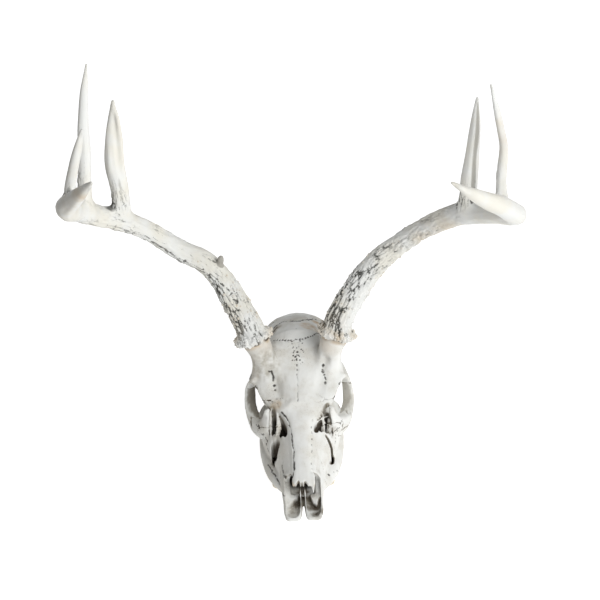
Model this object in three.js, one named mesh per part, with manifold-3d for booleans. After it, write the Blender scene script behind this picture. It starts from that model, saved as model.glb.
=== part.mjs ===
// Skull of an adult white-tailed buck without its lower jaw, with both antlers, as one still model.
// Millimetres, +Z up. The nose points along -Y, and left and right are the animal's own: left is +X.
// The skull lies on its cheek teeth and on the two processes under its rear corners, all at z = 0.
// Shapes are laid out from the tip of the nose (y = 0); the last step moves the origin to the middle
// of the underside of the model's box.
import * as THREE from 'three';
import { mergeVertices } from 'three/addons/utils/BufferGeometryUtils.js';
import { LoftGeometry } from 'three/addons/geometries/LoftGeometry.js';
import Module from 'manifold-3d';

const wasm = await Module();
wasm.setup();

// ---------------------------------------------------------------- driving dimensions
const GAP = 0.3;                  // between neighbouring bones
const OUTER = 90;                 // half of a cut that passes right through the skull
const BELOW_REST = [[-20, 0], [300, 0], [300, -20], [-20, -20]];
const HALF_SKULL = [[-20, -20], [300, -20], [300, 200], [-20, 200]];
const BONE_POINTS = 12;           // round a loft of the skull
const CAVITY_POINTS = 8;          // round the hollow of the nose
const ROD_SIDES = 6;              // round the thinner bars of bone
const BALL_SEGMENTS = [8, 6];     // round and from pole to pole
const STATION_STEP = 20;          // longest way between two sections of a loft of the skull
const PALATE = { halfWidth: 18, floor: -10, roof: 22, front: 20, rear: 156 };
const ORBIT = { centre: [50, 142, 66.5], radii: [25, 20, 15.5] };
const TOOTH_ROOT = 20;            // height at which the teeth enter the jaw
// Height on a tooth and the share of its full size there; it is worn flat at z = 0.
const TOOTH_LEVELS = [[TOOTH_ROOT, 0.86], [4, 0.98], [0, 0.72]];
const TOOTH_ROUNDNESS = 0.7;      // 1 is an ellipse, less is boxier

// Lofts along the skull. Each row: station y, half width, height of the widest place, top, bottom.
const ROSTRUM = [
  [22, 18, 34, 44, 24], [34, 20.5, 34, 52, 22], [45, 22, 34, 57, 20], [65, 25, 34, 63.5, 18],
  [85, 32, 34, 69, 16], [105, 40, 36, 74, 15], [125, 44, 40, 73, 15], [145, 43, 42, 66, 16],
  [158, 34, 42, 58, 20],
];
const FRONTAL_ROOF = [
  [94, 12, 66, 74, 60], [108, 23, 70, 79.5, 62], [120, 33, 74, 83.5, 66], [132, 43, 78, 87, 70],
  [144, 48, 82, 91, 75], [156, 48, 85, 95, 76], [168, 43.5, 88, 99, 76], [182, 40, 89, 102.6, 76],
  [193, 33, 86, 100, 76],
];
const CORE = [
  [98, 17, 50, 70, 21], [120, 19, 50, 76, 23], [140, 20, 52, 81, 26], [160, 22, 55, 80, 28],
  [176, 24, 58, 76, 34],
];
const BRAINCASE = [
  [152, 20, 62, 80, 42], [165, 26, 64, 86, 39], [180, 32, 67, 97, 37], [195, 36, 68, 104.5, 36],
  [210, 38, 66, 103, 34], [225, 38, 64, 97, 33], [240, 36.5, 60, 89, 32], [250, 33, 56, 83, 33],
  [257, 28, 52, 74, 35], [262, 20, 48, 62, 38],
];
const NASAL_LOOK = { topPower: 2.4, basePower: 4 };
const NASALS = [
  [30, 10.5, 46, 54, 44], [46, 10.5, 50, 58.8, 47], [66, 10.5, 55.5, 64.8, 53], [86, 12, 62, 71.5, 60],
  [100, 13.5, 67, 77, 65.5], [114, 13, 72, 81, 70], [122, 7, 76, 82.5, 73],
];
const NASAL_CAVITY = [
  [32, 13, 39, 53, 27], [44, 13, 40, 53, 27], [66, 13.5, 42, 57, 27], [88, 14, 44, 61, 28],
  [106, 11, 46, 58, 34],
];
const PREMAXILLA = [
  [0, 6.5, 29.5, 31.5, 27.5], [6, 8.2, 29.5, 33, 25], [16, 9, 31, 37, 23], [30, 9.5, 33, 44, 21],
  [48, 9.5, 34, 52, 20],
];
const PREMAXILLA_SCOOP = [
  [2.5, 3.6, 34, 62, 29.5], [8, 6.4, 33, 62, 27.6], [16, 7.4, 33, 62, 26], [30, 8, 34, 60, 24.5],
  [46, 8.2, 36, 54, 25],
];
const PREMAXILLA_MIDDLE = 10.6;   // sideways, of each of the pair and of its scoop

// Tubes. Each row: x, y, z, sideways radius, upright radius, on the left side.
const ZYGOMATIC_ARCH = [
  [37, 112, 39, 6, 8], [45.5, 124, 42, 5.5, 8], [51.5, 140, 44.5, 4.5, 5.5], [54, 156, 50, 3.6, 5.5],
  [52.5, 172, 54, 3.3, 5.2], [49, 188, 53, 3.6, 5], [43, 202, 52, 4.6, 5.6], [33, 214, 51, 5, 7],
];
const ALVEOLAR_RIDGE = [
  [21, 48, 26, 3, 6], [26, 64, 20, 6, 8], [30.5, 80, 17, 8.5, 9], [35, 104, 16, 9, 9],
  [36, 132, 17, 9, 9], [31, 152, 22, 6, 7],
];
// The rim is a ribbon whose flat side faces the middle of the eye socket.
const ORBIT_RIM = [
  [33, 112, 76, 4, 2.6], [34.5, 113, 66, 4.6, 3], [38.5, 116, 56, 5, 2.8],
  [44, 122, 50, 6.2, 2.4], [49, 132, 47.5, 7.4, 2.2], [52, 144, 49.5, 7, 2],
  [52.5, 153, 56, 6.4, 2], [51.5, 157, 66, 6, 2], [49, 155, 77, 5.4, 2.2], [45.5, 149, 86, 4.6, 2.6],
];
const ORBIT_CENTRE = [44, 134, 68];
const PEDICLE = [
  [27, 155, 82, 13, 13], [31, 160, 95, 13.3, 13.3], [35.5, 164.5, 105, 14, 14],
  [40, 168.5, 117, 14.5, 14.5], [43.4, 172.2, 126.5, 15, 15],
];
const PTERYGOID = [
  [11, 150, 34, 1.6, 9], [11, 162, 33, 1.6, 10], [12, 176, 36, 2, 7],
];
const PAROCCIPITAL = [
  [25.5, 249, 46, 6.5, 9], [26, 248, 30, 4.5, 7], [25.5, 246.5, 14, 3.2, 4.5], [25, 246, -4, 2.2, 3],
];
const CONDYLE = { centre: [12.5, 261, 37], radii: [8.5, 10, 11] };
const BULLA = { centre: [21, 222, 32], radii: [9, 13, 9] };
const NUCHAL_CREST = [
  [-33, 247, 58, 3, 4], [-26, 252, 69, 3.5, 4.5], [0, 256, 76, 4, 5], [26, 252, 69, 3.5, 4.5],
  [33, 247, 58, 3, 4],
];
const FORAMEN_MAGNUM = { centre: [0, 266, 47], radii: [9.5, 26, 9.5] };
const EAR_OPENING = { centre: [40, 226, 48], radii: [9, 4.5, 4] };
// The openings in front of the eyes, seen from above: corners as x and y, on the left side.
const UPPER_OPENING = {
  bottom: 34,
  corners: [
    [30, 118], [24.5, 116.5], [20, 108], [16.2, 100], [14.6, 93], [14.4, 82], [18, 82],
    [22.5, 87.5], [28, 90.5], [32, 94], [32.2, 104], [31, 112],
  ],
};
const LOWER_OPENING = {
  bottom: 26,
  corners: [[32, 90], [28.5, 87], [24.5, 83], [23, 79], [25, 77.5], [28.3, 77], [31.3, 83]],
};
const OPENING_TOP = 90;
const TURBINATE = [
  [8, 44, 36, 2.4, 5], [9, 62, 41, 3.2, 8], [9.5, 82, 45, 3.2, 9], [8, 99, 47, 2.2, 5],
];
const VOMER = { halfThickness: 1, outline: [[46, 27.3], [98, 34.5], [94, 43], [70, 42]] };

// Cheek teeth from the front: length, width, and the sideways place of the crown's middle.
const TEETH = [
  [11, 11.5, 27], [11.5, 13, 30.5], [11.5, 14, 33], [14, 16, 35], [15, 17, 35.5], [14.5, 16, 35],
];
const TOOTH_ROW_FRONT = 71;
const TOOTH_POINTS = 6;

// Outlines of the bones seen from the side, as pairs of y and z, in the order they are taken.
const PREMAXILLA_AREA = [[-20, 8], [42, 8], [50, 28], [60, 42], [70, 60], [40, 74], [-20, 74]];
const MAXILLA_AREA = [
  [30, -5], [160, -5], [166, 34], [134, 38], [112, 34], [104, 42], [112, 54], [97, 66], [92, 78],
  [30, 78],
];
const LACRIMAL_AREA = [[85, 84], [97, 50], [116, 44], [131, 52], [129, 72], [124, 79], [108, 81]];
const ZYGOMATIC_AREA = [[96, 20], [184, 20], [176, 62], [160, 69], [140, 66], [128, 70], [96, 60]];
const ZYGOMATIC_INNER = 30;
const LACRIMAL_INNER = 12;
const FRONTAL_AREA = [[90, 70], [126, 60], [150, 66], [178, 62], [187, 76], [193, 140], [90, 140]];
const CORE_AREA = [[80, 0], [186, 0], [178, 30], [160, 62], [150, 92], [80, 92]];
const OCCIPUT_AREA = [[241, -5], [300, -5], [300, 120], [250, 120], [250, 66], [243, 50]];

// Antlers. Each row: x, y, z, radius. Both are given on their own side, the right one at -x.
const LEFT_BURR = { centre: [43.8, 172.6, 128], axis: [0.28, 0.4, 0.87] };
const RIGHT_BURR = { centre: [-43.8, 172.6, 126.5], axis: [-0.28, 0.4, 0.87] };
const BURR_SIDES = 12;
const BURR_PROFILE = [[-4.6, 15.5], [-2.6, 19.4], [0.6, 20.6], [3.2, 19], [4.8, 15.5]];
const LEFT_BEAM = [
  [43.8, 172.6, 128, 15], [48.5, 179, 142, 14.5], [63, 194, 159, 14], [79, 208, 175, 13],
  [97, 217, 190, 12], [113, 221, 201, 11], [138, 219, 222, 10.5], [161, 210, 242, 11],
  [183, 195, 261, 12], [204, 171, 279, 11.5], [217, 148, 295, 11], [222, 122, 315, 10],
  [206, 97, 346, 9.5], [182, 76, 376, 7], [155, 57, 410, 1.8],
];
const RIGHT_BEAM = [
  [-43.8, 172.6, 126.5, 15], [-49, 179, 140, 14.5], [-60, 194, 157, 14], [-73, 208, 178, 12.5],
  [-89, 217, 196, 11.5], [-114, 222, 210, 11], [-142, 220, 238, 10], [-165, 210, 263, 11],
  [-187, 194, 284, 11], [-201, 170, 312, 11.5], [-207, 148, 331, 11], [-205, 122, 356, 10],
  [-193, 98, 383, 8.5], [-180, 78, 407, 6], [-167, 60, 431, 1.6],
];
const LEFT_TINES = {
  tine_2: [[185, 194, 266, 9], [185.5, 197, 300, 8.6], [188, 205, 332, 8], [191, 213, 362, 5.6],
    [193, 216, 386, 1.6]],
  tine_3: [[213, 160, 289, 7], [212, 163, 326, 5], [214.5, 170, 357, 4.4], [212, 176, 376, 4],
    [208, 183, 397, 3.2], [203, 188, 421, 1.3]],
};
const RIGHT_TINES = {
  brow_nub: [[-73, 207, 181, 5], [-74.5, 210, 190, 4], [-73.5, 211, 198, 3.4], [-72, 210, 205, 3.3],
    [-71.5, 210, 208, 1.8]],
  tine_2: [[-166, 208, 268, 9], [-165, 207, 306, 8.8], [-168, 212, 334, 8.2], [-167, 219, 358, 6.6],
    [-164, 225, 380, 4], [-161, 228, 399, 1.6]],
  tine_3: [[-197, 176, 306, 8], [-193, 178, 343, 6.8], [-189, 183, 376, 6.2], [-187, 189, 401, 5.6],
    [-183, 197, 431, 4], [-177, 203, 461, 1.4]],
  tine_4: [[-206, 146, 334, 7], [-202, 147, 361, 5.6], [-196, 150, 383, 5], [-190, 154, 401, 4],
    [-184, 157, 419, 1.5]],
};
// Where a beam is divided: the numbers of the rows above at its main forks.
const LEFT_FORKS = { beam_lower: [0, 8], beam_middle: [8, 10], beam_tip: [10, 14] };
const RIGHT_FORKS = { beam_lower: [0, 7], beam_middle: [7, 9], beam_upper: [9, 11], beam_tip: [11, 14] };
const PEDICLE_SIDES = 10;
const ANTLER_SIDES = 10;
const TINE_SIDES = 7;
const BEAM_SECTIONS = 2;          // for each row of a beam or tine
const FORK_GAP = GAP * 1.2;       // along the beam, where it is divided

// ---------------------------------------------------------------- solids
function toSolid(geometry) {
  const bare = new THREE.BufferGeometry();
  bare.setAttribute('position', geometry.attributes.position);
  bare.setIndex(geometry.index);
  const merged = mergeVertices(bare, 1e-4);
  return new wasm.Manifold(new wasm.Mesh({
    numProp: 3,
    vertProperties: new Float32Array(merged.attributes.position.array),
    triVerts: new Uint32Array(merged.index.array),
  }));
}

function toGeometry(solid) {
  const mesh = solid.getMesh();
  const geometry = new THREE.BufferGeometry();
  geometry.setAttribute('position', new THREE.BufferAttribute(mesh.vertProperties, 3));
  geometry.setIndex(new THREE.BufferAttribute(mesh.triVerts, 1));
  geometry.computeVertexNormals();
  return geometry;
}

function joined(solids) {
  return solids.reduce((whole, solid) => whole.add(solid));
}

function mirroredRows(rows) {
  return rows.map(([x, ...rest]) => [-x, ...rest]);
}

// All columns of a table at a fractional row number, on a Catmull-Rom curve through the rows.
function between(rows, place) {
  const first = Math.min(Math.floor(place), rows.length - 2);
  const t = place - first;
  const row = (number) => rows[THREE.MathUtils.clamp(number, 0, rows.length - 1)];
  return row(first).map((value, column) => {
    const slopeIn = (row(first + 1)[column] - row(first - 1)[column]) / 2;
    const slopeOut = (row(first + 2)[column] - value) / 2;
    const next = row(first + 1)[column];
    const bend = 2 * value - 2 * next + slopeIn + slopeOut;
    const rise = -3 * value + 3 * next - 2 * slopeIn - slopeOut;
    return ((bend * t + rise) * t + slopeIn) * t + value;
  });
}

function power(value, exponent) {
  return Math.sign(value) * Math.abs(value) ** exponent;
}

// A loft along the skull: super-elliptical sections whose upper and lower halves have powers of
// their own (2 is an ellipse, more is boxier, less is more pointed).
function skullLoft(rows, { topPower = 2, basePower = 2, middle = 0, grow = 0, points = BONE_POINTS } = {}) {
  const sections = [];
  const stationAt = (row) => rows[row][0];
  for (let row = 0; row < rows.length - 1; row += 1) {
    const steps = Math.ceil((stationAt(row + 1) - stationAt(row)) / STATION_STEP);
    for (let step = 0; step < steps; step += 1) {
      sections.push(between(rows, row + step / steps));
    }
  }
  sections.push(rows[rows.length - 1].slice());
  sections[0][0] -= grow;
  sections[sections.length - 1][0] += grow;
  return toSolid(new LoftGeometry(sections.map(([station, halfWidth, widest, top, bottom]) => {
    const outline = [];
    for (let i = 0; i < points; i += 1) {
      const angle = (i / points) * 2 * Math.PI;
      const rise = Math.sin(angle);
      const exponent = 2 / (rise > 0 ? topPower : basePower);
      const height = rise > 0 ? top - widest + grow : widest - bottom + grow;
      outline.push(new THREE.Vector3(
        middle - (halfWidth + grow) * power(Math.cos(angle), exponent),
        station,
        widest + height * power(rise, exponent),
      ));
    }
    return outline;
  }), { closed: true, capStart: true, capEnd: true }));
}

// Sections of a tube through rows of x, y, z, sideways radius and upright radius.
function tubeSections(rows, sides, { perRow = 1, grow = 0, facing } = {}) {
  const count = (rows.length - 1) * perRow;
  const samples = [];
  for (let i = 0; i <= count; i += 1) {
    samples.push(between(rows, i / perRow));
  }
  const centres = samples.map(([x, y, z]) => new THREE.Vector3(x, y, z));
  const up = new THREE.Vector3(0, 0, 1);
  const back = new THREE.Vector3(0, 1, 0);
  const ends = centres[count].clone().sub(centres[0]).normalize();
  let side = new THREE.Vector3().crossVectors(Math.abs(ends.z) > 0.8 ? back : up, ends).normalize();
  return centres.map((centre, i) => {
    const tangent = centres[Math.min(i + 1, count)].clone().sub(centres[Math.max(i - 1, 0)]).normalize();
    side = facing
      ? facing.clone().sub(centre).cross(tangent).normalize()
      : side.clone().addScaledVector(tangent, -side.dot(tangent)).normalize();
    const over = new THREE.Vector3().crossVectors(tangent, side);
    const [, , , wide, high = wide] = samples[i];
    const outline = [];
    for (let k = 0; k < sides; k += 1) {
      const angle = ((k + 0.5) / sides) * 2 * Math.PI;
      outline.push(centre.clone()
        .addScaledVector(side, (wide + grow) * Math.cos(angle))
        .addScaledVector(over, (high + grow) * Math.sin(angle)));
    }
    return outline;
  });
}

function loftOf(sections) {
  return toSolid(new LoftGeometry(sections, { closed: true, capStart: true, capEnd: true }));
}

function tube(rows, sides, options) {
  return loftOf(tubeSections(rows, sides, options));
}

function pair(rows, sides, facing) {
  const [left, right] = [1, -1].map((side) => ({
    facing: facing && new THREE.Vector3(side * facing[0], facing[1], facing[2]),
  }));
  return tube(rows, sides, left).add(tube(mirroredRows(rows), sides, right));
}

function ellipsoid({ centre, radii }, mirror = 1) {
  const geometry = new THREE.SphereGeometry(1, ...BALL_SEGMENTS);
  geometry.scale(...radii);
  geometry.translate(centre[0] * mirror, centre[1], centre[2]);
  return toSolid(geometry);
}

function ellipsoidPair(shape) {
  return ellipsoid(shape).add(ellipsoid(shape, -1));
}

// A slab seen from the side: an outline in y and z, from one x to another.
function slab(outline, from, to, grow = 0) {
  const corners = outline.map(([y, z]) => new THREE.Vector2(y, z));
  if (THREE.ShapeUtils.area(corners) < 0) {
    corners.reverse();
  }
  const grown = corners.map((corner, i) => {
    const before = corners[(i + corners.length - 1) % corners.length];
    const after = corners[(i + 1) % corners.length];
    const inward = corner.clone().sub(before).normalize();
    const onward = after.clone().sub(corner).normalize();
    const miter = new THREE.Vector2(inward.y + onward.y, -inward.x - onward.x);
    return corner.clone().addScaledVector(miter, grow / (1 + inward.dot(onward)));
  });
  const geometry = new THREE.ExtrudeGeometry(new THREE.Shape(grown), {
    depth: to - from,
    bevelEnabled: false,
  });
  // The outline's plane x, y and depth turn into y, z and x.
  geometry.applyMatrix4(new THREE.Matrix4().set(0, 0, 1, from, 1, 0, 0, 0, 0, 1, 0, 0, 0, 0, 0, 1));
  return toSolid(geometry);
}

// ---------------------------------------------------------------- the whole skull
function tooth(length, width, middle, front, side) {
  return loftOf(TOOTH_LEVELS.map(([height, share]) => {
    const outline = [];
    for (let i = 0; i < TOOTH_POINTS; i += 1) {
      const angle = (-i / TOOTH_POINTS) * 2 * Math.PI;
      outline.push(new THREE.Vector3(
        side * middle + (width / 2) * share * power(Math.cos(angle), TOOTH_ROUNDNESS),
        front + length / 2 + (length / 2 - GAP / 2) * share * power(Math.sin(angle), TOOTH_ROUNDNESS),
        height,
      ));
    }
    return outline;
  }));
}

function toothRows() {
  const crowns = [];
  for (const side of [1, -1]) {
    let front = TOOTH_ROW_FRONT;
    for (const [length, width, middle] of TEETH) {
      crowns.push(tooth(length, width, middle, front, side));
      front += length;
    }
  }
  return joined(crowns);
}

function palateCut() {
  const { front, rear, floor, roof, halfWidth } = PALATE;
  return slab([[front, floor], [rear, floor], [rear, roof], [front, roof]], -halfWidth, halfWidth);
}

// Cuts an outline in x and y straight down to its bottom, on both sides.
function openingPair({ bottom, corners }) {
  const [left, right] = [1, -1].map((side) => {
    const shape = new THREE.Shape(corners.map(([x, y]) => new THREE.Vector2(side * x, y)));
    const geometry = new THREE.ExtrudeGeometry(shape, {
      depth: OPENING_TOP - bottom,
      bevelEnabled: false,
    });
    geometry.translate(0, 0, bottom);
    return toSolid(geometry);
  });
  return left.add(right);
}

function premaxillaScoops() {
  const look = { topPower: 7, basePower: 2.4, middle: PREMAXILLA_MIDDLE, points: CAVITY_POINTS };
  return skullLoft(PREMAXILLA_SCOOP, look);
}

function nasalCavity() {
  return skullLoft(NASAL_CAVITY, { topPower: 2.4, basePower: 3, points: CAVITY_POINTS });
}

function wholeSkull() {
  const body = joined([
    skullLoft(ROSTRUM, { topPower: 1.7, basePower: 3 }),
    skullLoft(FRONTAL_ROOF, { topPower: 2.2, basePower: 2.6 }),
    skullLoft(CORE, { topPower: 3, basePower: 2.4 }),
    skullLoft(BRAINCASE),
    pair(ALVEOLAR_RIDGE, ROD_SIDES),
  ]);
  const hollowed = body
    .subtract(palateCut())
    .subtract(nasalCavity())
    .subtract(premaxillaScoops())
    .subtract(ellipsoidPair(ORBIT));
  return joined([
    hollowed,
    toothRows(),
    pair(ZYGOMATIC_ARCH, ROD_SIDES),
    pair(ORBIT_RIM, ROD_SIDES, ORBIT_CENTRE),
    pair(PEDICLE, PEDICLE_SIDES),
    pair(PTERYGOID, ROD_SIDES),
    pair(PAROCCIPITAL, ROD_SIDES),
    ellipsoidPair(BULLA),
    ellipsoidPair(CONDYLE),
    tube(NUCHAL_CREST, ROD_SIDES),
  ])
    .subtract(ellipsoid(FORAMEN_MAGNUM))
    .subtract(ellipsoidPair(EAR_OPENING))
    .subtract(openingPair(UPPER_OPENING))
    .subtract(openingPair(LOWER_OPENING))
    .subtract(slab(BELOW_REST, -OUTER, OUTER));
}

// ---------------------------------------------------------------- bones
let rest = wholeSkull();

function takePair(outline, inner = GAP / 2) {
  const bone = rest.intersect(slab(outline, inner, OUTER));
  if (inner > GAP) {
    rest = rest
      .subtract(slab(outline, inner - GAP, OUTER, GAP))
      .subtract(slab(outline, -OUTER, GAP - inner, GAP));
  } else {
    rest = rest.subtract(slab(outline, -OUTER, OUTER, GAP));
  }
  return bone;
}

function takeSingle(outline) {
  const bone = rest.intersect(slab(outline, -OUTER, OUTER));
  rest = rest.subtract(slab(outline, -OUTER, OUTER, GAP));
  return bone;
}

function premaxillaPlate() {
  return skullLoft(PREMAXILLA, { topPower: 2, basePower: 3, middle: PREMAXILLA_MIDDLE })
    .subtract(premaxillaScoops())
    .subtract(nasalCavity());
}

const leftHalf = slab(HALF_SKULL, GAP / 2, OUTER);
const nasal = skullLoft(NASALS, NASAL_LOOK).intersect(leftHalf);
rest = rest
  .add(premaxillaPlate())
  .subtract(skullLoft(NASALS, { ...NASAL_LOOK, grow: GAP }));
const premaxilla = takePair(PREMAXILLA_AREA);
const maxilla = takePair(MAXILLA_AREA);
const lacrimal = takePair(LACRIMAL_AREA, LACRIMAL_INNER);
const zygomatic = takePair(ZYGOMATIC_AREA, ZYGOMATIC_INNER);
const frontal = takePair(FRONTAL_AREA);
const core = takeSingle(CORE_AREA);
const occiput = takeSingle(OCCIPUT_AREA);

// ---------------------------------------------------------------- antlers
function burr({ centre, axis }, grow = 0) {
  const points = BURR_PROFILE.map(([along, radius]) => new THREE.Vector2(radius + grow, along));
  points[0].y -= grow;
  points[points.length - 1].y += grow;
  const bottom = new THREE.Vector2(0, points[0].y);
  const top = new THREE.Vector2(0, points[points.length - 1].y);
  const geometry = new THREE.LatheGeometry([bottom, ...points, top], BURR_SIDES);
  const turn = new THREE.Quaternion().setFromUnitVectors(
    new THREE.Vector3(0, 1, 0),
    new THREE.Vector3(...axis).normalize(),
  );
  geometry.applyQuaternion(turn);
  geometry.translate(...centre);
  return toSolid(geometry);
}

function antlerPieces(burrShape, beamRows, forks, tines) {
  const burrGrown = burr(burrShape, GAP);
  const whole = tubeSections(beamRows, ANTLER_SIDES, { perRow: BEAM_SECTIONS });
  const pieces = { burr: burr(burrShape) };
  for (const [name, [from, to]] of Object.entries(forks)) {
    const sections = whole.slice(from * BEAM_SECTIONS, to * BEAM_SECTIONS + 1);
    if (from > 0) {
      const length = sections[0][0].distanceTo(sections[1][0]);
      sections[0] = sections[0].map((point, i) => point.clone().lerp(sections[1][i], FORK_GAP / length));
    }
    pieces[name] = loftOf(sections).subtract(burrGrown);
  }
  const beamGrown = tube(beamRows, ANTLER_SIDES, { perRow: BEAM_SECTIONS, grow: GAP });
  for (const [name, rows] of Object.entries(tines)) {
    pieces[name] = tube(rows, TINE_SIDES, { perRow: BEAM_SECTIONS }).subtract(beamGrown);
  }
  return pieces;
}

// ---------------------------------------------------------------- assembly
const skull = new THREE.Group();
const mirror = new THREE.Group();
mirror.scale.x = -1;
skull.add(mirror);

const BONE = { color: 0xe9e6dc, roughness: 0.62 };
const STAINED_BONE = { color: 0xddd2ba, roughness: 0.66 };
const ANTLER = { color: 0xddd5c3, roughness: 0.58 };
const ANTLER_TIP = { color: 0xece6d6, roughness: 0.45 };

function addMesh(group, name, solid, { color, roughness }) {
  const material = new THREE.MeshStandardMaterial({ color, roughness, metalness: 0 });
  const mesh = new THREE.Mesh(toGeometry(solid), material);
  mesh.name = name;
  group.add(mesh);
}

function addPair(name, solid, look) {
  addMesh(skull, `${name}_left`, solid, look);
  addMesh(mirror, `${name}_right`, solid, look);
}

const burrsGrown = burr(LEFT_BURR, GAP);
addPair('nasal', nasal, BONE);
addPair('premaxilla', premaxilla, BONE);
addPair('maxilla_with_teeth', maxilla, BONE);
addPair('lacrimal', lacrimal, BONE);
addPair('zygomatic', zygomatic, BONE);
addMesh(skull, 'frontal_left', frontal.subtract(burrsGrown), STAINED_BONE);
addMesh(mirror, 'frontal_right', frontal.subtract(burr({
  centre: [-RIGHT_BURR.centre[0], RIGHT_BURR.centre[1], RIGHT_BURR.centre[2]],
  axis: [-RIGHT_BURR.axis[0], RIGHT_BURR.axis[1], RIGHT_BURR.axis[2]],
}, GAP)), STAINED_BONE);
addMesh(skull, 'sphenoid', core, BONE);
addMesh(skull, 'braincase', rest, BONE);
addMesh(skull, 'occiput', occiput, BONE);
addMesh(skull, 'vomer', slab(VOMER.outline, -VOMER.halfThickness, VOMER.halfThickness), BONE);
addPair('turbinate', tube(TURBINATE, ROD_SIDES), BONE);

const antlers = {
  antler_left: antlerPieces(LEFT_BURR, LEFT_BEAM, LEFT_FORKS, LEFT_TINES),
  antler_right: antlerPieces(RIGHT_BURR, RIGHT_BEAM, RIGHT_FORKS, RIGHT_TINES),
};
for (const [antler, pieces] of Object.entries(antlers)) {
  for (const [name, solid] of Object.entries(pieces)) {
    addMesh(skull, `${antler}_${name}`, solid, name.includes('tip') ? ANTLER_TIP : ANTLER);
  }
}

const box = new THREE.Box3().setFromObject(skull);
const middle = box.getCenter(new THREE.Vector3());
skull.position.set(-middle.x, -middle.y, -box.min.z);

export default skull;
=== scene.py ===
"""Bleached skull of a white-tailed buck with both antlers, lying on its cheek teeth.

Every bone is a closed mesh of its own, drawn round a solid that is described by a few lofts, tubes
and hollows. Lengths in the tables are millimetres from the tip of the nose, in the middle of the
skull, at table height: x to the animal's left, y backwards, z up. Meshes are made in metres.
"""
import functools
import itertools
import math

import bpy
import numpy as np
from mathutils import Matrix, Vector


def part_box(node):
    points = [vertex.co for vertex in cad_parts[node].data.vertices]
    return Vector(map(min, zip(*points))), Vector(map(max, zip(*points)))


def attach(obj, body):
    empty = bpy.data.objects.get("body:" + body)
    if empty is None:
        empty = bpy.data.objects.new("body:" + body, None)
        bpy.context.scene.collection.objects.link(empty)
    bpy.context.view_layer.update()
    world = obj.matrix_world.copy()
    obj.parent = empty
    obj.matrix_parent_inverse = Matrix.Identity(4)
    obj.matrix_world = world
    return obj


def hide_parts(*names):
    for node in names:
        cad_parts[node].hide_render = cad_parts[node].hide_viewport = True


bl_info = {
    "name": "Deer skull",
    "version": (1, 0, 0),
    "blender": (4, 5, 0),
    "location": "View3D > Sidebar > Deer skull",
    "description": "A buck's skull with antlers, bone by bone",
    "category": "Add Mesh",
}

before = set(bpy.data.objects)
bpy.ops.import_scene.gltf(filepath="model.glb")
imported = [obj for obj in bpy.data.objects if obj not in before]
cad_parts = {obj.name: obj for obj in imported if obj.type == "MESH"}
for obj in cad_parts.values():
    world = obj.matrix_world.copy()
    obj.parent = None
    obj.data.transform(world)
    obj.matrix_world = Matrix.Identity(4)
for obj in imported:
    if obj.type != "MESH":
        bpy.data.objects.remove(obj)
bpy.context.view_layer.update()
MM = 0.001

# ------------------------------------------------------------------ tables of the skull, in mm
# Lofts: station y, half width, height of the widest place, top, bottom.
ROSTRUM = [
    (22, 18, 34, 44, 24), (34, 20.5, 34, 52, 22), (45, 22, 34, 57, 20), (65, 25, 34, 63.5, 18),
    (85, 32, 34, 69, 16), (105, 40, 36, 74, 15), (125, 44, 40, 73, 15), (145, 43, 42, 66, 16),
    (158, 34, 42, 58, 20),
]
FRONTAL_ROOF = [
    (94, 12, 66, 74, 60), (108, 23, 70, 79.5, 62), (120, 33, 74, 83.5, 66), (132, 43, 78, 87, 70),
    (144, 48, 82, 91, 75), (156, 48, 85, 95, 76), (168, 43.5, 88, 99, 76), (182, 40, 89, 102.6, 76),
    (193, 33, 86, 100, 76),
]
CORE = [
    (98, 17, 50, 70, 21), (120, 19, 50, 76, 23), (140, 20, 52, 81, 26), (160, 22, 55, 80, 28),
    (176, 24, 58, 76, 34),
]
BRAINCASE = [
    (152, 20, 62, 80, 42), (165, 26, 64, 86, 39), (180, 32, 67, 97, 37), (195, 36, 68, 104.5, 36),
    (210, 38, 66, 103, 34), (225, 38, 64, 97, 33), (240, 36.5, 60, 89, 32), (250, 33, 56, 83, 33),
    (257, 28, 52, 74, 35), (262, 20, 48, 62, 38),
]
NASALS = [
    (27, 10.5, 50, 53.2, 48.5), (46, 10.5, 53, 58.8, 52.5), (66, 10.5, 57, 64.8, 56),
    (86, 12, 62, 71.5, 61), (100, 13.5, 67, 77, 65.5), (114, 13, 72, 81, 70), (122, 7, 76, 82.5, 73),
]
NASAL_SPIKE = [(10.5, 40, 53.5, 2.8, 1.8), (11, 30, 50.5, 2.4, 1.4), (11.4, 20, 48, 1.2, 1.0)]
NASAL_CAVITY = [
    (32, 13, 39, 53, 27), (44, 13, 40, 53, 27), (66, 13.5, 42, 57, 27), (88, 14, 44, 61, 28),
    (106, 11, 46, 58, 34),
]
PREMAXILLA = [
    (0, 6.5, 29.5, 31.5, 27.5), (6, 8.5, 29.5, 33, 25), (16, 9.8, 31, 37, 23), (30, 10.4, 33, 44, 21),
    (48, 10.4, 34, 52, 20),
]
PREMAXILLA_SCOOP = [
    (2.5, 3.6, 34, 62, 29.5), (8, 6.4, 33, 62, 27.6), (16, 7.4, 33, 62, 26), (30, 8.0, 34, 60, 24.5),
    (46, 8.2, 36, 54, 25),
]
PREMAXILLA_SHELF = [
    (10, 6.0, 36, 62, 32), (18, 7.0, 37, 62, 32.5), (30, 7.6, 38, 60, 33.5), (44, 7.4, 40, 56, 36),
]
PREMAXILLA_MIDDLE = 10.6
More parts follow.
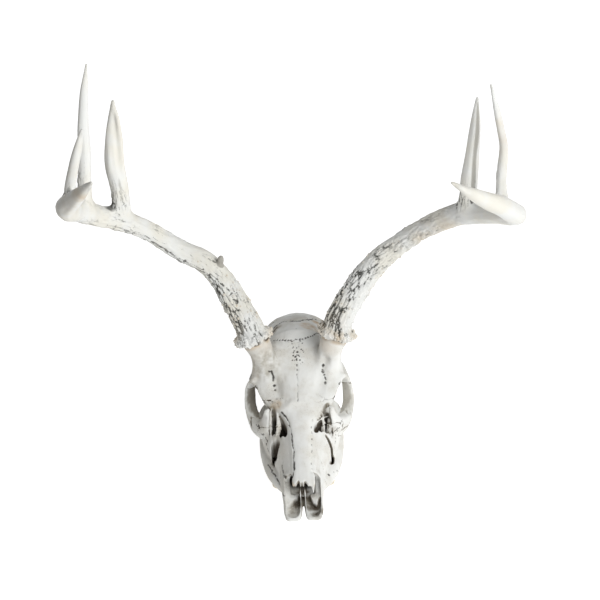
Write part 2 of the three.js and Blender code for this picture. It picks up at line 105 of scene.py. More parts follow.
# In front of these lines, seen from above, the scoops are deep; behind them a torn shelf is left.
RIGHT_TORN = [
    (-24, -6), (-0.8, -6), (-0.8, 42), (-1.8, 36), (-3, 30.5), (-4.2, 29), (-5.4, 26.4), (-7.2, 27),
    (-9.2, 25.5), (-10.4, 22), (-12.6, 21.2), (-14.2, 18), (-16.4, 16.5), (-17.6, 12), (-24, 13),
]
LEFT_TORN = [
    (24, -6), (24, 24), (20.7, 24), (19, 27.5), (17.4, 25.5), (15.6, 24.6), (14.8, 19.5), (13.6, 17),
    (12, 19), (9.8, 21), (8.6, 25), (7.6, 28), (6.4, 31), (5.6, 36), (3.5, 38), (1, 42), (1, -6),
]
# What is broken away in front of the nasals, seen from above.
NASAL_FRONT = [
    (-30, 8), (30, 8), (30, 34), (15, 33), (13.2, 28.5), (12.2, 22), (11.3, 19), (9.8, 20.5), (8.4, 24.5),
    (6.4, 26), (5.2, 29.5), (3.1, 32.6), (1.2, 28.5), (-0.4, 31.5), (-1.6, 28.2), (-3.5, 33), (-5, 31),
    (-6.1, 28), (-7.4, 30), (-9, 26.5), (-10.6, 30), (-12.4, 28.5), (-14, 32), (-30, 34),
]

# Tubes: x, y, z, sideways radius, upright radius.
ZYGOMATIC_ARCH = [
    (37, 112, 39, 6, 8), (45.5, 124, 42, 5.5, 8), (51.5, 140, 44.5, 4.5, 5.5), (54, 156, 50, 3.6, 5.5),
    (52.5, 172, 54, 3.3, 5.2), (49, 188, 53, 3.6, 5), (43, 202, 52, 4.6, 5.6), (33, 214, 51, 5, 7),
]
ALVEOLAR_RIDGE = [
    (21, 48, 26, 3, 6), (26, 64, 20, 6, 8), (30.5, 80, 17, 8.5, 9), (35, 104, 16, 9, 9),
    (36, 132, 17, 9, 9), (31, 152, 22, 6, 7),
]
ORBIT_RIM = [
    (33, 112, 76, 4.0, 2.6), (34.5, 113, 66, 4.6, 3.0), (38.5, 116, 56, 5.0, 2.8), (44, 122, 50, 6.2, 2.4),
    (49, 132, 47.5, 7.4, 2.2), (52, 144, 49.5, 7.0, 2.0), (52.5, 153, 56, 6.4, 2.0),
    (51.5, 157, 66, 6.0, 2.0), (49, 155, 77, 5.4, 2.2), (45.5, 149, 86, 4.6, 2.6),
]
ORBIT_CENTRE = (44, 134, 68)
CHEEK_FACE = [
    (31.5, 107, 70, 2.5, 2.5), (34, 108, 60, 4, 4), (38, 111, 51, 6, 6), (44, 118, 45, 6.5, 6.5),
    (50, 130, 44, 4, 4),
]
PEDICLE = [
    (28, 156, 80, 13, 13), (32.5, 161, 93, 13, 13), (36.5, 165, 104.5, 13.6, 13.6),
    (40, 168.5, 117, 14.5, 14.5), (43.4, 172.2, 126.5, 15, 15),
]
BROW_GROOVE = [(29, 152, 106, 5), (27, 144.5, 98.5, 5), (25, 137, 91.8, 5), (23, 126, 88.5, 4)]
FOREHEAD = [
    (118, 9, 72, 83, 64), (135, 14, 78, 89, 68), (152, 19, 84, 94.5, 70), (168, 23, 90, 100, 74),
    (184, 26, 92, 103.5, 76), (198, 24, 90, 104, 76),
]
PTERYGOID = [(11, 150, 34, 1.6, 9), (11, 162, 33, 1.6, 10), (12, 176, 36, 2, 7)]
PAROCCIPITAL = [
    (25.5, 249, 46, 6.5, 9), (26, 248, 30, 4.5, 7), (25.5, 246.5, 14, 3.2, 4.5), (25, 246, -4, 2.2, 3),
]
NUCHAL_CREST = [
    (-33, 247, 58, 3, 4), (-26, 252, 69, 3.5, 4.5), (0, 256, 76, 4, 5), (26, 252, 69, 3.5, 4.5),
    (33, 247, 58, 3, 4),
]
# Openings in front of the eyes, seen from above: how deep they go, and corners as |x| and y.
RIGHT_OPENINGS = [
    (30, [(30, 117.5), (26.5, 117), (24.6, 114), (20.1, 109), (17, 105), (14.9, 100.5), (13.2, 96),
        (13.6, 88), (16, 86.5), (18, 89.5), (20.5, 89), (22.5, 94), (25, 95), (27, 98), (29.5, 97.5),
        (31.8, 99.5), (32.3, 105), (31, 112)]),
    (24, [(24.7, 93), (22.6, 90.5), (21.6, 87.5), (22, 83), (23.8, 78.5), (26.2, 74.2), (28.4, 77.5),
        (30.6, 81.6), (31.9, 87), (31.6, 92), (29.6, 94.2), (27.2, 92.6)]),
]
LEFT_OPENINGS = [
    (30, [(30, 119), (31.3, 114), (31.2, 110), (33, 105), (33.4, 99), (31.5, 96.5), (29, 97.5), (27, 95.5),
        (24.5, 96), (22, 93.5), (19.5, 93.8), (18, 91), (15.4, 89.5), (14.4, 92), (15.3, 97.5), (17.5, 101),
        (18.6, 104.5), (20.6, 106), (23.6, 111.5), (25.2, 112.6), (27, 116)]),
    (24, [(25.5, 94), (29.5, 92.5), (33.2, 88.5), (33.4, 84), (32.6, 80), (28.6, 77.6), (29.6, 80.5),
        (31, 83.5), (30.6, 86.5), (28.3, 89.5), (25, 92)]),
]
# Thin slivers of bone left standing in them: x, y, z, half width, half thickness.
SLIVERS = [
    [(-23.5, 112, 74, 1.0, 0.7), (-22, 106, 69, 2.2, 0.7), (-22.3, 98, 62, 3.3, 0.7),
        (-24.6, 93.5, 57.5, 2.4, 0.9)],
    [(-29.2, 117, 74, 1.0, 0.7), (-30.6, 104, 59, 1.5, 0.7), (-31, 95.5, 50, 1.1, 0.7)],
    [(24, 111, 70, 1.2, 0.6), (24.5, 103, 63, 2.2, 0.6), (24, 96, 56.5, 2.6, 0.7), (25, 93.5, 57, 1.8, 0.8)],
    [(30, 110, 62, 1.5, 0.7), (30, 102, 54, 3.4, 0.7), (30, 96, 49, 3.2, 0.7), (30.5, 94, 50, 1.8, 0.8)],
    [(17, 101, 65, 0.8, 0.8), (23, 106, 67, 0.9, 0.9), (31, 110, 66, 0.8, 0.8)],
    [(21, 108, 70, 0.7, 0.7), (26, 104, 63, 0.8, 0.8), (32, 104, 57, 0.7, 0.7)],
]
# Drawn on the bone: width, darkness, length of a dash, how far it strays, and its places.
INK_LINES = [
    (0.95, 1.0, 3.2, 0.6, [(-25, 194, 97), (-17.2, 189.3, 100.7), (-7.5, 186.1, 103), (1.1, 186.5, 103.7),
        (8.6, 187.6, 103), (17.2, 193.9, 100.8), (22, 202, 98)]),
    (1.5, 1.0, 0, 3.4, [(-24, 225, 88), (-20.7, 230.8, 88.8), (-14, 233.3, 90.5), (0.4, 226.9, 96.1),
        (7.9, 230.8, 93.3), (21.3, 245.5, 80.3)]),
    (0.8, 0.9, 6.0, 0.7, [(0.3, 168, 99.5), (0.3, 152.9, 93.9), (-0.3, 146, 91)]),
    (0.6, 0.6, 0, 0.5, [(-0.3, 146, 91), (-0.3, 134, 88), (-0.6, 116.8, 82.5)]),
    (0.9, 1.0, 0, 1.1, [(-18, 110, 76), (-11.3, 98.2, 72.5), (-8.6, 82, 67.5), (-7.8, 70.5, 63.9),
        (-7.7, 46.3, 56.7), (-9.6, 36, 52)]),
    (0.8, 0.6, 7.0, 1.0, [(13.4, 99, 72.8), (13, 84.3, 66), (12.4, 63.7, 60), (11.4, 46.9, 55)]),
    (1.2, 0.95, 0, 3.2, [(-43.5, 114.6, 53.5), (-37.5, 108.7, 48.6), (-35.8, 98.6, 43.8), (-38, 96, 40),
        (-37, 88, 36)]),
    (1.0, 0.75, 2.6, 2.8, [(43.2, 114.1, 54.9), (35.3, 105.6, 50.6), (32.8, 97.3, 48.9)]),
    (1.0, 0.8, 4.0, 2.6, [(39, 109, 51), (37, 99, 43), (37, 92, 38)]),
    (1.0, 0.75, 0, 1.4, [(-36.2, 84, 24.1), (-28.9, 65.2, 27.1), (-19.5, 27.1, 37.1)]),
    (0.9, 0.7, 0, 1.6, [(-20, 62, 46), (-19, 52, 45), (-16, 42, 47), (-12, 34, 50)]),
    (1.0, 0.9, 0, 0.6, [(-27.4, 148, 98.5), (-25.8, 145, 94.5), (-26, 142, 91.2)]),
    (1.1, 0.8, 0, 0.5, [(-20.5, 222.5, 92.8), (-26.1, 212.4, 92.3), (-28.5, 216.1, 89)]),
    (0.7, 0.8, 0, 1.0, [(20, 197.5, 99.5), (25, 201, 97.5), (27, 192, 100), (33, 187, 103)]),
    (1.0, 0.9, 2.8, 1.2, [(27.3, 148, 100), (26.6, 146, 95.6), (28.3, 141.9, 90.8), (28.6, 137.7, 87.5)]),
    (1.1, 0.9, 0, 1.5, [(-44, 142, 84), (-40, 133, 80), (-36, 124, 76), (-33, 117, 73)]),
    (0.9, 0.8, 0, 1.5, [(44, 142, 84), (40, 133, 80), (36, 124, 76)]),
    (0.7, 0.6, 3.0, 1.2, [(-30, 121, 78), (-24, 123, 81.5), (-17, 122, 83)]),
    (0.7, 0.6, 3.0, 1.2, [(29, 121, 79), (24, 124, 82), (18, 126, 84)]),
]
# Pits: x, y, z, radius, darkness.
INK_PITS = [
    (0.5, 202.9, 104.4, 1.2, 1), (-4.2, 181.3, 102.6, 1, 0.9), (3.5, 185.3, 103, 0.9, 0.9),
    (-0.5, 187.1, 103.3, 1, 0.9), (2.4, 180.1, 102.3, 1, 0.9), (-3.2, 177.4, 101.6, 0.9, 0.9),
    (-2.4, 173, 100.5, 1, 0.9), (1.1, 171.5, 100, 1.3, 1), (2.4, 177.4, 101.6, 0.8, 0.9),
    (-1.2, 165.9, 98.2, 1.2, 1), (0.4, 159.6, 96.2, 0.8, 0.7), (-28.5, 148, 98.8, 1.1, 0.8),
    (-25.1, 138.2, 88.2, 1.5, 1), (-24.2, 133.6, 86.3, 1.3, 0.9), (27.5, 149.1, 101.4, 1.6, 1),
    (26.6, 146, 95.6, 1.1, 0.9), (28.3, 141.9, 90.8, 1.1, 0.8), (28.6, 137.7, 87.5, 1.5, 0.6),
    (27.5, 61.8, 27.8, 1.5, 0.9), (32.8, 68.8, 24.3, 1.1, 0.5), (36.5, 73.4, 20.6, 1.3, 0.8),
    (-35, 110, 59, 1.8, 0.8), (-32.5, 113.5, 66, 1.2, 0.8), (34.5, 112, 62, 1.2, 0.8),
]
# Stains and painted shade on the bone: x, y, z, radius, and how much ochre, grey dirt and darkness. The
# ochre and the small grey patches are stains; the dirt and darkness in the nose opening and the
# premaxillae's scoops, and the broad grey patches on the animal's right of the face and brow, are painted
# shade.
STAIN_AND_SHADE_PATCHES = [
    (14, 214, 99, 13, 0.7, 0, 0), (20, 208, 97, 8, 0.6, 0.1, 0), (29, 203, 96, 7, 0.4, 0.9, 0.8),
    (22, 232, 86, 9, 0.8, 0, 0), (-25, 217, 90, 9, 0.3, 1.0, 0), (-46, 152, 92, 10, 0.3, 0.35, 0),
    (51, 170, 76, 12, 0.4, 0.3, 0), (0, 30, 34, 10, 0, 0.7, 0.7), (0, 38, 24, 13, 0, 0.9, 0.8),
    (-21, 221, 92.5, 9, 0.3, 1, 0.1), (-26, 213, 92.3, 9, 0.3, 1, 0.1), (-36, 158, 104, 30, 0, 0.9, 0),
    (-24, 117, 80, 9, 0.6, 0.3, 0), (-10, 30, 51, 4, 0.9, 0.5, 0), (13, 28, 49, 3, 0.4, 0.2, 0),
    (-36, 75, 22, 16, 0.12, 0.45, 0), (0, 240, 88, 20, 0.05, 0.25, 0), (-44, 124, 46, 14, 0.08, 0.4, 0),
    (-26, 38, 30, 12, 0.2, 0.4, 0), (-20, 96, 66, 8, 0.25, 0.35, 0), (-22, 66, 44, 26, 0.04, 0.3, 0),
    (-5, 22, 26, 11, 0, 0.9, 0.9), (-9, 13, 27, 9, 0, 0.8, 0.45), (-12, 8, 28, 8, 0, 0.6, 0.35),
    (15, 9, 28, 11, 0.1, 0.9, 1.0), (13, 17, 26, 9, 0, 0.9, 0.9), (6, 20, 27, 9, 0, 0.8, 0.9),
    (9, 32, 29, 9, 0, 0.6, 0.9), (-9, 32, 29, 8, 0, 0.6, 0.7),
]
VOMER_OUTLINE = [(46, 27.3), (98, 34.5), (94, 43), (70, 42)]
VOMER_HALF = 1
TURBINATE = [(8, 44, 36, 2.4, 5), (9, 62, 41, 3.2, 8), (9.5, 82, 45, 3.2, 9), (8, 99, 47, 2.2, 5)]

# Cheek teeth from the front: length, width, and the sideways place of the crown's middle.
TEETH = [(11, 11.5, 27), (11.5, 13, 30.5), (11.5, 14, 33), (14, 16, 35), (15, 17, 35.5), (14.5, 16, 35)]
PREMOLARS = 3
TOOTH_ROW_FRONT = 71
TOOTH_ROOT = 20

# Outlines of the bones seen from the side, y and z, in the order they are taken from the whole.
PREMAXILLA_AREA = [(-20, 8), (42, 8), (50, 28), (60, 42), (70, 60), (40, 74), (-20, 74)]
MAXILLA_AREA = [
    (30, -5), (160, -5), (166, 34), (134, 38), (112, 34), (104, 42), (112, 54), (97, 66), (92, 78), (30, 78),
]
LACRIMAL_AREA = [(85, 84), (97, 50), (116, 44), (131, 52), (129, 72), (124, 79), (108, 81)]
ZYGOMATIC_AREA = [(96, 20), (184, 20), (176, 62), (160, 69), (140, 66), (128, 70), (96, 60)]
FRONTAL_AREA = [(90, 70), (126, 60), (150, 66), (178, 62), (187, 76), (193, 140), (90, 140)]
CORE_AREA = [(80, 0), (186, 0), (178, 30), (160, 62), (150, 92), (80, 92)]
OCCIPUT_AREA = [(241, -5), (300, -5), (300, 120), (250, 120), (250, 66), (243, 50)]

# Antlers: x, y, z, radius. Each is given on its own side.
LEFT_BURR = ((43.8, 172.6, 128), (0.28, 0.4, 0.87))
RIGHT_BURR = ((-43.8, 172.6, 126.5), (-0.28, 0.4, 0.87))
LEFT_BEAM = [
    (43.8, 172.6, 128, 15), (48.5, 179, 142, 14.5), (63, 194, 159, 14), (79, 208, 175, 13),
    (97, 217, 190, 12), (113, 221, 201, 11), (138, 219, 222, 10.5), (161, 210, 242, 11),
    (183, 195, 261, 12), (204, 171, 279, 11.5), (217, 148, 295, 11), (222, 122, 315, 10),
    (206, 97, 346, 9.5), (182, 76, 376, 7), (155, 57, 410, 1.8),
]
RIGHT_BEAM = [
    (-43.8, 172.6, 126.5, 15), (-49, 179, 140, 14.5), (-60, 194, 157, 14), (-73, 208, 178, 12.5),
    (-89, 217, 196, 11.5), (-114, 222, 210, 11), (-142, 220, 238, 10), (-165, 210, 263, 11),
    (-187, 194, 284, 11), (-201, 170, 312, 11.5), (-207, 148, 331, 11), (-205, 122, 356, 10),
    (-193, 98, 383, 8.5), (-180, 78, 407, 6), (-167, 60, 431, 1.6),
]
LEFT_TINES = [
    [(182, 194, 266, 9.5), (184, 197, 300, 8.4), (188, 205, 332, 6.8), (191.5, 213, 362, 4.8),
        (193, 216, 386, 1.8)],
    [(213, 160, 289, 7), (212, 163, 326, 5), (214.5, 170, 357, 4.4), (212, 176, 376, 4),
        (208, 183, 397, 3.2), (203, 188, 421, 1.3)],
]
RIGHT_TINES = [
    [(-73, 207, 181, 5), (-74.5, 210, 190, 4), (-73.5, 211, 198, 3.4), (-72, 210, 205, 3.3),
        (-71.5, 210, 208, 1.8)],
    [(-166, 208, 268, 9), (-165, 207, 306, 8.8), (-168, 212, 334, 8.2), (-167, 219, 358, 6.6),
        (-164, 225, 380, 4), (-161, 228, 399, 1.6)],
    [(-197, 176, 306, 8), (-193, 178, 343, 6.8), (-189, 183, 376, 6.2), (-187, 189, 401, 5.6),
        (-183, 197, 431, 4), (-177, 203, 461, 1.4)],
    [(-206, 146, 334, 7), (-202, 147, 361, 5.6), (-196, 150, 383, 5), (-190, 154, 401, 4),
        (-184, 157, 419, 1.5)],
]
# A sharp edge along the second tine, and furrows.
RIGHT_RIBS = [
    [(-158.5, 203, 296, 2.2), (-158.5, 209, 334, 2.6), (-158, 216, 358, 2.6), (-158, 222, 384, 2.2),
        (-160.5, 226, 393, 1.0)],
]
LEFT_FURROWS = [
    [(187, 187, 284, 1.8), (189.5, 194.5, 325, 2.0), (193, 205.5, 354, 1.8), (194, 213, 382, 1.0)],
]
RIGHT_FURROWS = [
    [(-162.5, 195, 292, 1.4), (-162.5, 200, 330, 1.7), (-162, 208.5, 356, 1.6), (-160.5, 218, 384, 1.0)],
]
# Warm tints: x, y, z, radius, strength.
LEFT_TINTS = [(146, 206, 222, 26, 0.45), (166, 200, 238, 22, 0.35), (208, 178, 370, 24, 0.25)]
RIGHT_TINTS = [(-196, 90, 384, 20, 0.5), (-184, 74, 404, 16, 0.5)]


# ------------------------------------------------------------------ numbers
def smoothstep(low, high, value):
    t = np.clip((value - low) / (high - low), 0, 1)
    return t * t * (3 - 2 * t)


HASH_PRIMES = (73856093, 19349663, 83492791)
SEED_PRIME = 2654435761
SCRAMBLE_PRIME = 1274126177
LATTICE_START = 1000.0  # keeps the lattice numbers above zero
SIXTEEN_BITS = 0xFFFF


def lattice(points, scale):
    """The lattice cell of every point (3, n), and how far through its cell the point is."""
    q = np.asarray(points, np.float64) / np.reshape(scale, (-1, 1)) + LATTICE_START
    whole = np.floor(q).astype(np.int64)
    return whole, q - whole


def corner_hash(whole, step, seed):
    """A whole number for the lattice corner that is a step away from each cell's own."""
    x, y, z = ((w + d) * prime for w, d, prime in zip(whole, step, HASH_PRIMES))
    return x ^ y ^ z ^ seed * SEED_PRIME


def scramble(mix):
    """A hash scrambled once more, and its low sixteen bits."""
    mix = (mix ^ (mix >> 13)) * SCRAMBLE_PRIME & 0x7FFFFFFF
    return mix, (mix ^ (mix >> 16)) & SIXTEEN_BITS


def noise(points, scale, seed):
    """Smooth random values from -1 to 1 at points (3, n), with bumps about scale apart."""
    whole, part = lattice(points, scale)
    part = part * part * (3 - 2 * part)
    total = 0.0
    for step in itertools.product((0, 1), repeat=3):
        _, bits = scramble(corner_hash(whole, step, seed))
        x, y, z = (p if d else 1 - p for p, d in zip(part, step))
        total = total + bits / (SIXTEEN_BITS / 2) * (x * y) * z
    return total - 1.0


def cells(points, size, seed):
    """Distances to the nearest and second nearest of scattered points about size apart."""
    whole, part = lattice(points, size)
    first = np.full(part.shape[1], 9.0)
    second = first.copy()
    for steps in itertools.product((-1, 0, 1), repeat=3):
        mix = corner_hash(whole, steps, seed)
        away = 0.0
        for axis, step in enumerate(steps):
            mix, bits = scramble(mix)
            away = away + (step + bits / SIXTEEN_BITS - part[axis]) ** 2
        second = np.minimum(second, np.maximum(first, away))
        first = np.minimum(first, away)
    return np.sqrt(first), np.sqrt(second)


def spline(rows, places):
    """Every column of a table at fractional row numbers, on a Catmull-Rom curve through it."""
    rows = np.asarray(rows, float)
    last = len(rows) - 1
    first = np.clip(np.floor(places).astype(int), 0, last - 1)
    t = (places - first)[:, None]
    before, here, there, after = (rows[np.clip(first + k, 0, last)] for k in (-1, 0, 1, 2))
    slope_in = (there - before) / 2
    slope_out = (after - here) / 2
    bend = 2 * here - 2 * there + slope_in + slope_out
    rise = -3 * here + 3 * there - 2 * slope_in - slope_out
    return ((bend * t + rise) * t + slope_in) * t + here


def even_places(rows, samples):
    """Fractional row numbers of a table, with so many steps from row to row."""
    return np.linspace(0, len(rows) - 1, (len(rows) - 1) * samples + 1)


def unit_rows(vectors):
    return vectors / np.linalg.norm(vectors, axis=1)[:, None]


def within(points, low, high):
    """Which of the points (3, n) lie inside a box."""
    x, y, z = points
    return np.flatnonzero((x > low[0]) & (x < high[0]) & (y > low[1]) & (y < high[1])
                          & (z > low[2]) & (z < high[2]))


def dot(columns, vector):
    """The product of points (3, n) in single precision with one vector."""
    return sum(c * np.float32(v) for c, v in zip(columns, vector))


def less(columns, origin):
    """Points (3, n) counted from an origin."""
    return [c - np.float32(o) for c, o in zip(columns, origin)]


def folded(points, mirrored):
    """Points on the left side, where a shape is the same on both sides."""
    x, y, z = points
    return (np.abs(x) if mirrored else x), y, z


def soft_min(a, b, blend):
    """The smaller of two fields, rounded where they are nearly equal."""
    if blend <= 0:
        return np.minimum(a, b)
    near = np.maximum(blend - np.abs(a - b), 0) / blend
    return np.minimum(a, b) - near * near * blend / 4


# ------------------------------------------------------------------ shapes
# Each shape has a box, and distance(points) gives about how far points (3, n) are outside it.
FAR = 60.0  # what counts as far away, where nobody needs to know how far
MARGIN = 16.0  # how far outside its box a shape still matters


class Loft:
    """Rounded sections along y, of a power for the upper half and one for the lower.

    A loft with a middle is a pair of them, to the left and the right of the middle line.
    """

    ROUND_ENDS = 3.0

    def __init__(self, rows, top=2.0, base=2.0, middle=None):
        dense = spline(rows, np.linspace(0, len(rows) - 1, 20 * len(rows)))
        self.table = dense.astype(np.float32)
        self.powers = top, base
        self.middle = middle
        reach = dense[:, 1].max() + (middle or 0)
        self.box = (np.array([-reach, dense[0, 0], dense[:, 4].min()]),
                    np.array([reach, dense[-1, 0], dense[:, 3].max()]))

    def distance(self, points):
        x, y, z = points
        x = np.abs(x)
        if self.middle is not None:
            x = np.abs(x - self.middle)
        stations, *columns = self.table.T
        half, widest, top, bottom = (np.interp(y, stations, c).astype(np.float32) for c in columns)
        up = z > widest
        height = np.where(up, top - widest, widest - bottom)
        power = np.where(up, np.float32(self.powers[0]), np.float32(self.powers[1]))
        across = np.maximum(x / half, 1e-3)
        along = np.maximum(np.abs(z - widest) / height, 1e-3)
        side, rise = across ** power, along ** power
        share = (side + rise) ** (1 / power)
        slope = np.hypot(side / across / half, rise / along / height) * share / (side + rise)
        around = (share - 1) / np.maximum(slope, 0.4 / np.minimum(half, height))
        ends = np.maximum(stations[0] - y, y - stations[-1])
        return -soft_min(-around, -ends, self.ROUND_ENDS)


class Tube:
    """A tube along a curve, round or oval; an oval one can turn its flat to face a place."""

    THINNEST = 0.4
    SEARCH = 14

    def __init__(self, rows, mirrored=False, samples=4, facing=None):
        rows = np.array(rows, float)
        if rows.shape[1] == 4:
            rows = np.column_stack([rows, rows[:, 3]])
        dense = spline(rows, even_places(rows, samples))
        self.centres = dense[:, :3]
        self.radii = np.maximum(dense[:, 3:5], self.THINNEST)
        self.round = facing is None and np.allclose(self.radii[:, 0], self.radii[:, 1])
        self.tangents = unit_rows(np.gradient(self.centres, axis=0))
        if self.round:
            self.side = self.carried_side()
        elif facing is not None:
            self.side = unit_rows(np.cross(np.array(facing) - self.centres, self.tangents))
        else:
            flat = np.hypot(*self.tangents[:, :2].T).min() > 0.2
            self.side = unit_rows(np.cross((0, 0, 1) if flat else (0, -1, 0), self.tangents))
        self.over = np.cross(self.tangents, self.side)
        self.mirrored = mirrored
        reach = self.radii.max()
        low, high = self.centres.min(0) - reach, self.centres.max(0) + reach
        if mirrored:
            low[0] = -high[0]
        self.box = low, high

    def carried_side(self):
        """A side direction that turns with the axis and never twists round it."""
        side = [np.cross(self.tangents[0], (0.31, 0.83, 0.46))]
        for tangent in self.tangents:
            turned = side[-1] - tangent * (side[-1] @ tangent)
            side.append(turned / np.linalg.norm(turned))
        return np.array(side[1:])

    def distance(self, points):
        points = folded(points, self.mirrored)
        best = np.full(points[0].shape, FAR, np.float32)
        for i in range(len(self.centres) - 1):
            start, end = self.centres[i], self.centres[i + 1]
            radius = self.radii[i:i + 2].max() + self.SEARCH
            near = within(points, np.minimum(start, end) - radius, np.maximum(start, end) + radius)
            if not len(near):
                continue
            way = end - start
            local = less([c[near] for c in points], start)
            t = np.clip(dot(local, way) / np.float32(way @ way), 0, 1)
            off = [c - t * np.float32(w) for c, w in zip(local, way)]
            away = np.sqrt(sum(c * c for c in off)) + np.float32(1e-4)
            wide, high_r = (a + t * np.float32(b - a) for a, b in self.radii[i:i + 2].T)
            if self.round:
                found = away - wide
            else:
                across, over = dot(off, self.side[i]), dot(off, self.over[i])
                rest = np.maximum(away * away - across * across - over * over, 0)
                small = np.minimum(wide, high_r)
                share = np.sqrt((across / wide) ** 2 + (over / high_r) ** 2 + rest / small ** 2)
                slope = np.sqrt((across / wide ** 2) ** 2 + (over / high_r ** 2) ** 2
                                + rest / small ** 4)
                found = (share - 1) * share / np.maximum(slope, 1e-4)
            best[near] = np.minimum(best[near], found)
        return best


class Ball:
    """A ball with a radius along each axis."""

    def __init__(self, centre, radii, mirrored=False):
        self.centre = np.array(centre, float)
        self.radii = np.array(radii, float)
        self.mirrored = mirrored
        self.box = self.centre - self.radii, self.centre + self.radii
        if mirrored:
            self.box[0][0] = -self.box[1][0]

    def distance(self, points):
        off = less(folded(points, self.mirrored), self.centre)
        share = np.sqrt(sum((c / np.float32(r)) ** 2 for c, r in zip(off, self.radii)))
        slope = np.sqrt(sum((c / np.float32(r * r)) ** 2 for c, r in zip(off, self.radii)))
        return (share - 1) * share / np.maximum(slope, 1e-3)


class Block:
    """A box-shaped region, for the palate's channel, the gap between the premaxillae and the back of the
    nose.
    """

    def __init__(self, low, high):
        self.low, self.high = np.array(low, float), np.array(high, float)
        self.box = self.low, self.high

    def distance(self, points):
        sides = [np.maximum(np.float32(lo) - c, c - np.float32(hi))
                 for c, lo, hi in zip(points, self.low, self.high)]
        return np.maximum(np.maximum(sides[0], sides[1]), sides[2])


class Prism:
    """An outline in x and y, cut straight down to a depth; side -1 turns it to the other side."""

    def __init__(self, corners, bottom, top, side=1):
        self.corners = [(float(x), float(y)) for x, y in corners]
        self.side = side
        across = [x * side for x, _ in corners]
        along = [y for _, y in corners]
        low, high = min(across), max(across)
        self.box = np.array([low, min(along), bottom], float), np.array([high, max(along), top], float)

    def distance(self, points):
        x, y, z = points
        around = outline_distance(self.corners, x * self.side, y)
        return np.maximum(around, np.maximum(self.box[0][2] - z, z - self.box[1][2]))


class Both:
    """Where two shapes overlap."""

    def __init__(self, one, two):
        self.one, self.two = one, two
        self.box = np.maximum(one.box[0], two.box[0]), np.minimum(one.box[1], two.box[1])

    def distance(self, points):
        return np.maximum(self.one.distance(points), self.two.distance(points))


class ToothRow:
    """Both rows of cheek teeth: columns with paired crescents worn flat where they meet z = 0."""

    REACH = 46
    POWER = 3.0

    def __init__(self):
        length = sum(tooth[0] for tooth in TEETH)
        self.box = (np.array([-self.REACH, TOOTH_ROW_FRONT, 0.0]),
                    np.array([self.REACH, TOOTH_ROW_FRONT + length, TOOTH_ROOT]))

    def distance(self, points):
        x, y, z = points
        x = np.abs(x)
        best = np.full(x.shape, FAR, np.float32)
        front = TOOTH_ROW_FRONT
        for number, (length, width, middle) in enumerate(TEETH):
            lobes = 1 if number < PREMOLARS else 2
            across = (x - middle) / (width / 2)
            phase = (y - front) / length
            swell = 1 + 0.1 * np.cos(2 * np.pi * lobes * (phase - 0.5 / lobes))
            taper = 1 - 0.05 * np.clip((5 - z) / 5, 0, 1)
            along = (phase - 0.5) * 2
            share = (np.abs(across) / (swell * taper)) ** self.POWER + np.abs(along) ** self.POWER
            share = share ** (1 / self.POWER)
            sides = (share - 1) * np.float32(min(length, width) / 2)
            valley = 3.0 * np.exp(-((across - 0.12) / 0.26) ** 2)
            saddle = 1.6 * np.abs(np.sin(np.pi * lobes * phase)) ** 0.6
            below = (valley + 1.6 - saddle) * smoothstep(1.0, 0.55, np.abs(along)) - z
            best = np.minimum(best, np.maximum(sides, np.maximum(below * 0.7, z - TOOTH_ROOT)))
            front += length
        return best


class Ring:
    """A burr: a thick ring round an antler's base, a little lower than it is wide."""

    MAJOR = 15.4
    MINOR = 4.7
    SQUEEZE = 1.1

    def __init__(self, centre, axis):
        self.centre = np.array(centre, float)
        self.axis = np.array(axis, float) / np.linalg.norm(axis)
        reach = self.MAJOR + self.MINOR
        self.box = self.centre - reach, self.centre + reach

    def coordinates(self, points):
        off = less(points, self.centre)
        height = dot(off, self.axis)
        across = np.sqrt(np.maximum(sum(c * c for c in off) - height * height, 0))
        return height, across

    def distance(self, points):
        height, across = self.coordinates(points)
        return np.sqrt((across - self.MAJOR) ** 2 + (height * self.SQUEEZE) ** 2) - self.MINOR


class BelowRing:
    """Everything under the plane through a burr, so that an antler ends there."""

    REACH = 40

    def __init__(self, ring, depth):
        self.ring, self.depth = ring, depth
        self.box = ring.centre - self.REACH, ring.centre + self.REACH

    def distance(self, points):
        height, _ = self.ring.coordinates(points)
        return height + self.depth


# ------------------------------------------------------------------ sculpting
def join(shape, blend=0.0):
    return "join", shape, blend


def cut(shape, blend=0.0):
    return "cut", shape, blend


def evaluate(steps, points):
    """The distance outside the sculpture that the steps describe, at points (3, n)."""
    field = np.full(points.shape[1], FAR, np.float32)
    for kind, shape, blend in steps:
        near = within(points, shape.box[0] - MARGIN, shape.box[1] + MARGIN)
        if not len(near):
            continue
        found = shape.distance(points[:, near])
        if kind == "join":
            field[near] = soft_min(field[near], found, blend)
        else:
            field[near] = -soft_min(-field[near], found, blend)
    return field


CELLS = 4  # cells along a block
COARSE = 4  # blocks along a large block, which is tried first


def lattice_numbers(counts):
    """All whole-numbered places (3, n) of a lattice with so many along each axis."""
    return np.indices(counts).reshape(3, -1)


class Samples:
    """Field values at the corners of small cells, in the blocks of cells that meet the surface."""

    def __init__(self, field, low, high, cell):
        self.cell = cell
        self.low = np.array(low, float)
        block = CELLS * cell
        large = COARSE * block
        counts = np.ceil((np.array(high) - self.low) / large).astype(int)
        grid = self.near_surface(field, lattice_numbers(counts), large, large * 0.9 + 4) * COARSE
        grid = (grid[:, :, None] + lattice_numbers([COARSE] * 3)[:, None]).reshape(3, -1)
        self.blocks = self.near_surface(field, grid, block, block * 0.9 + 2) * CELLS
        nodes = self.blocks[:, :, None] + lattice_numbers([CELLS + 1] * 3)[:, None]
        points = (self.low[:, None] + nodes.reshape(3, -1) * cell).astype(np.float32)
        self.values = field(points).reshape((-1,) + (CELLS + 1,) * 3)

    def near_surface(self, field, grid, block, reach):
        centres = (self.low[:, None] + (grid + 0.5) * block).astype(np.float32)
        return grid[:, np.abs(field(centres)) < reach]


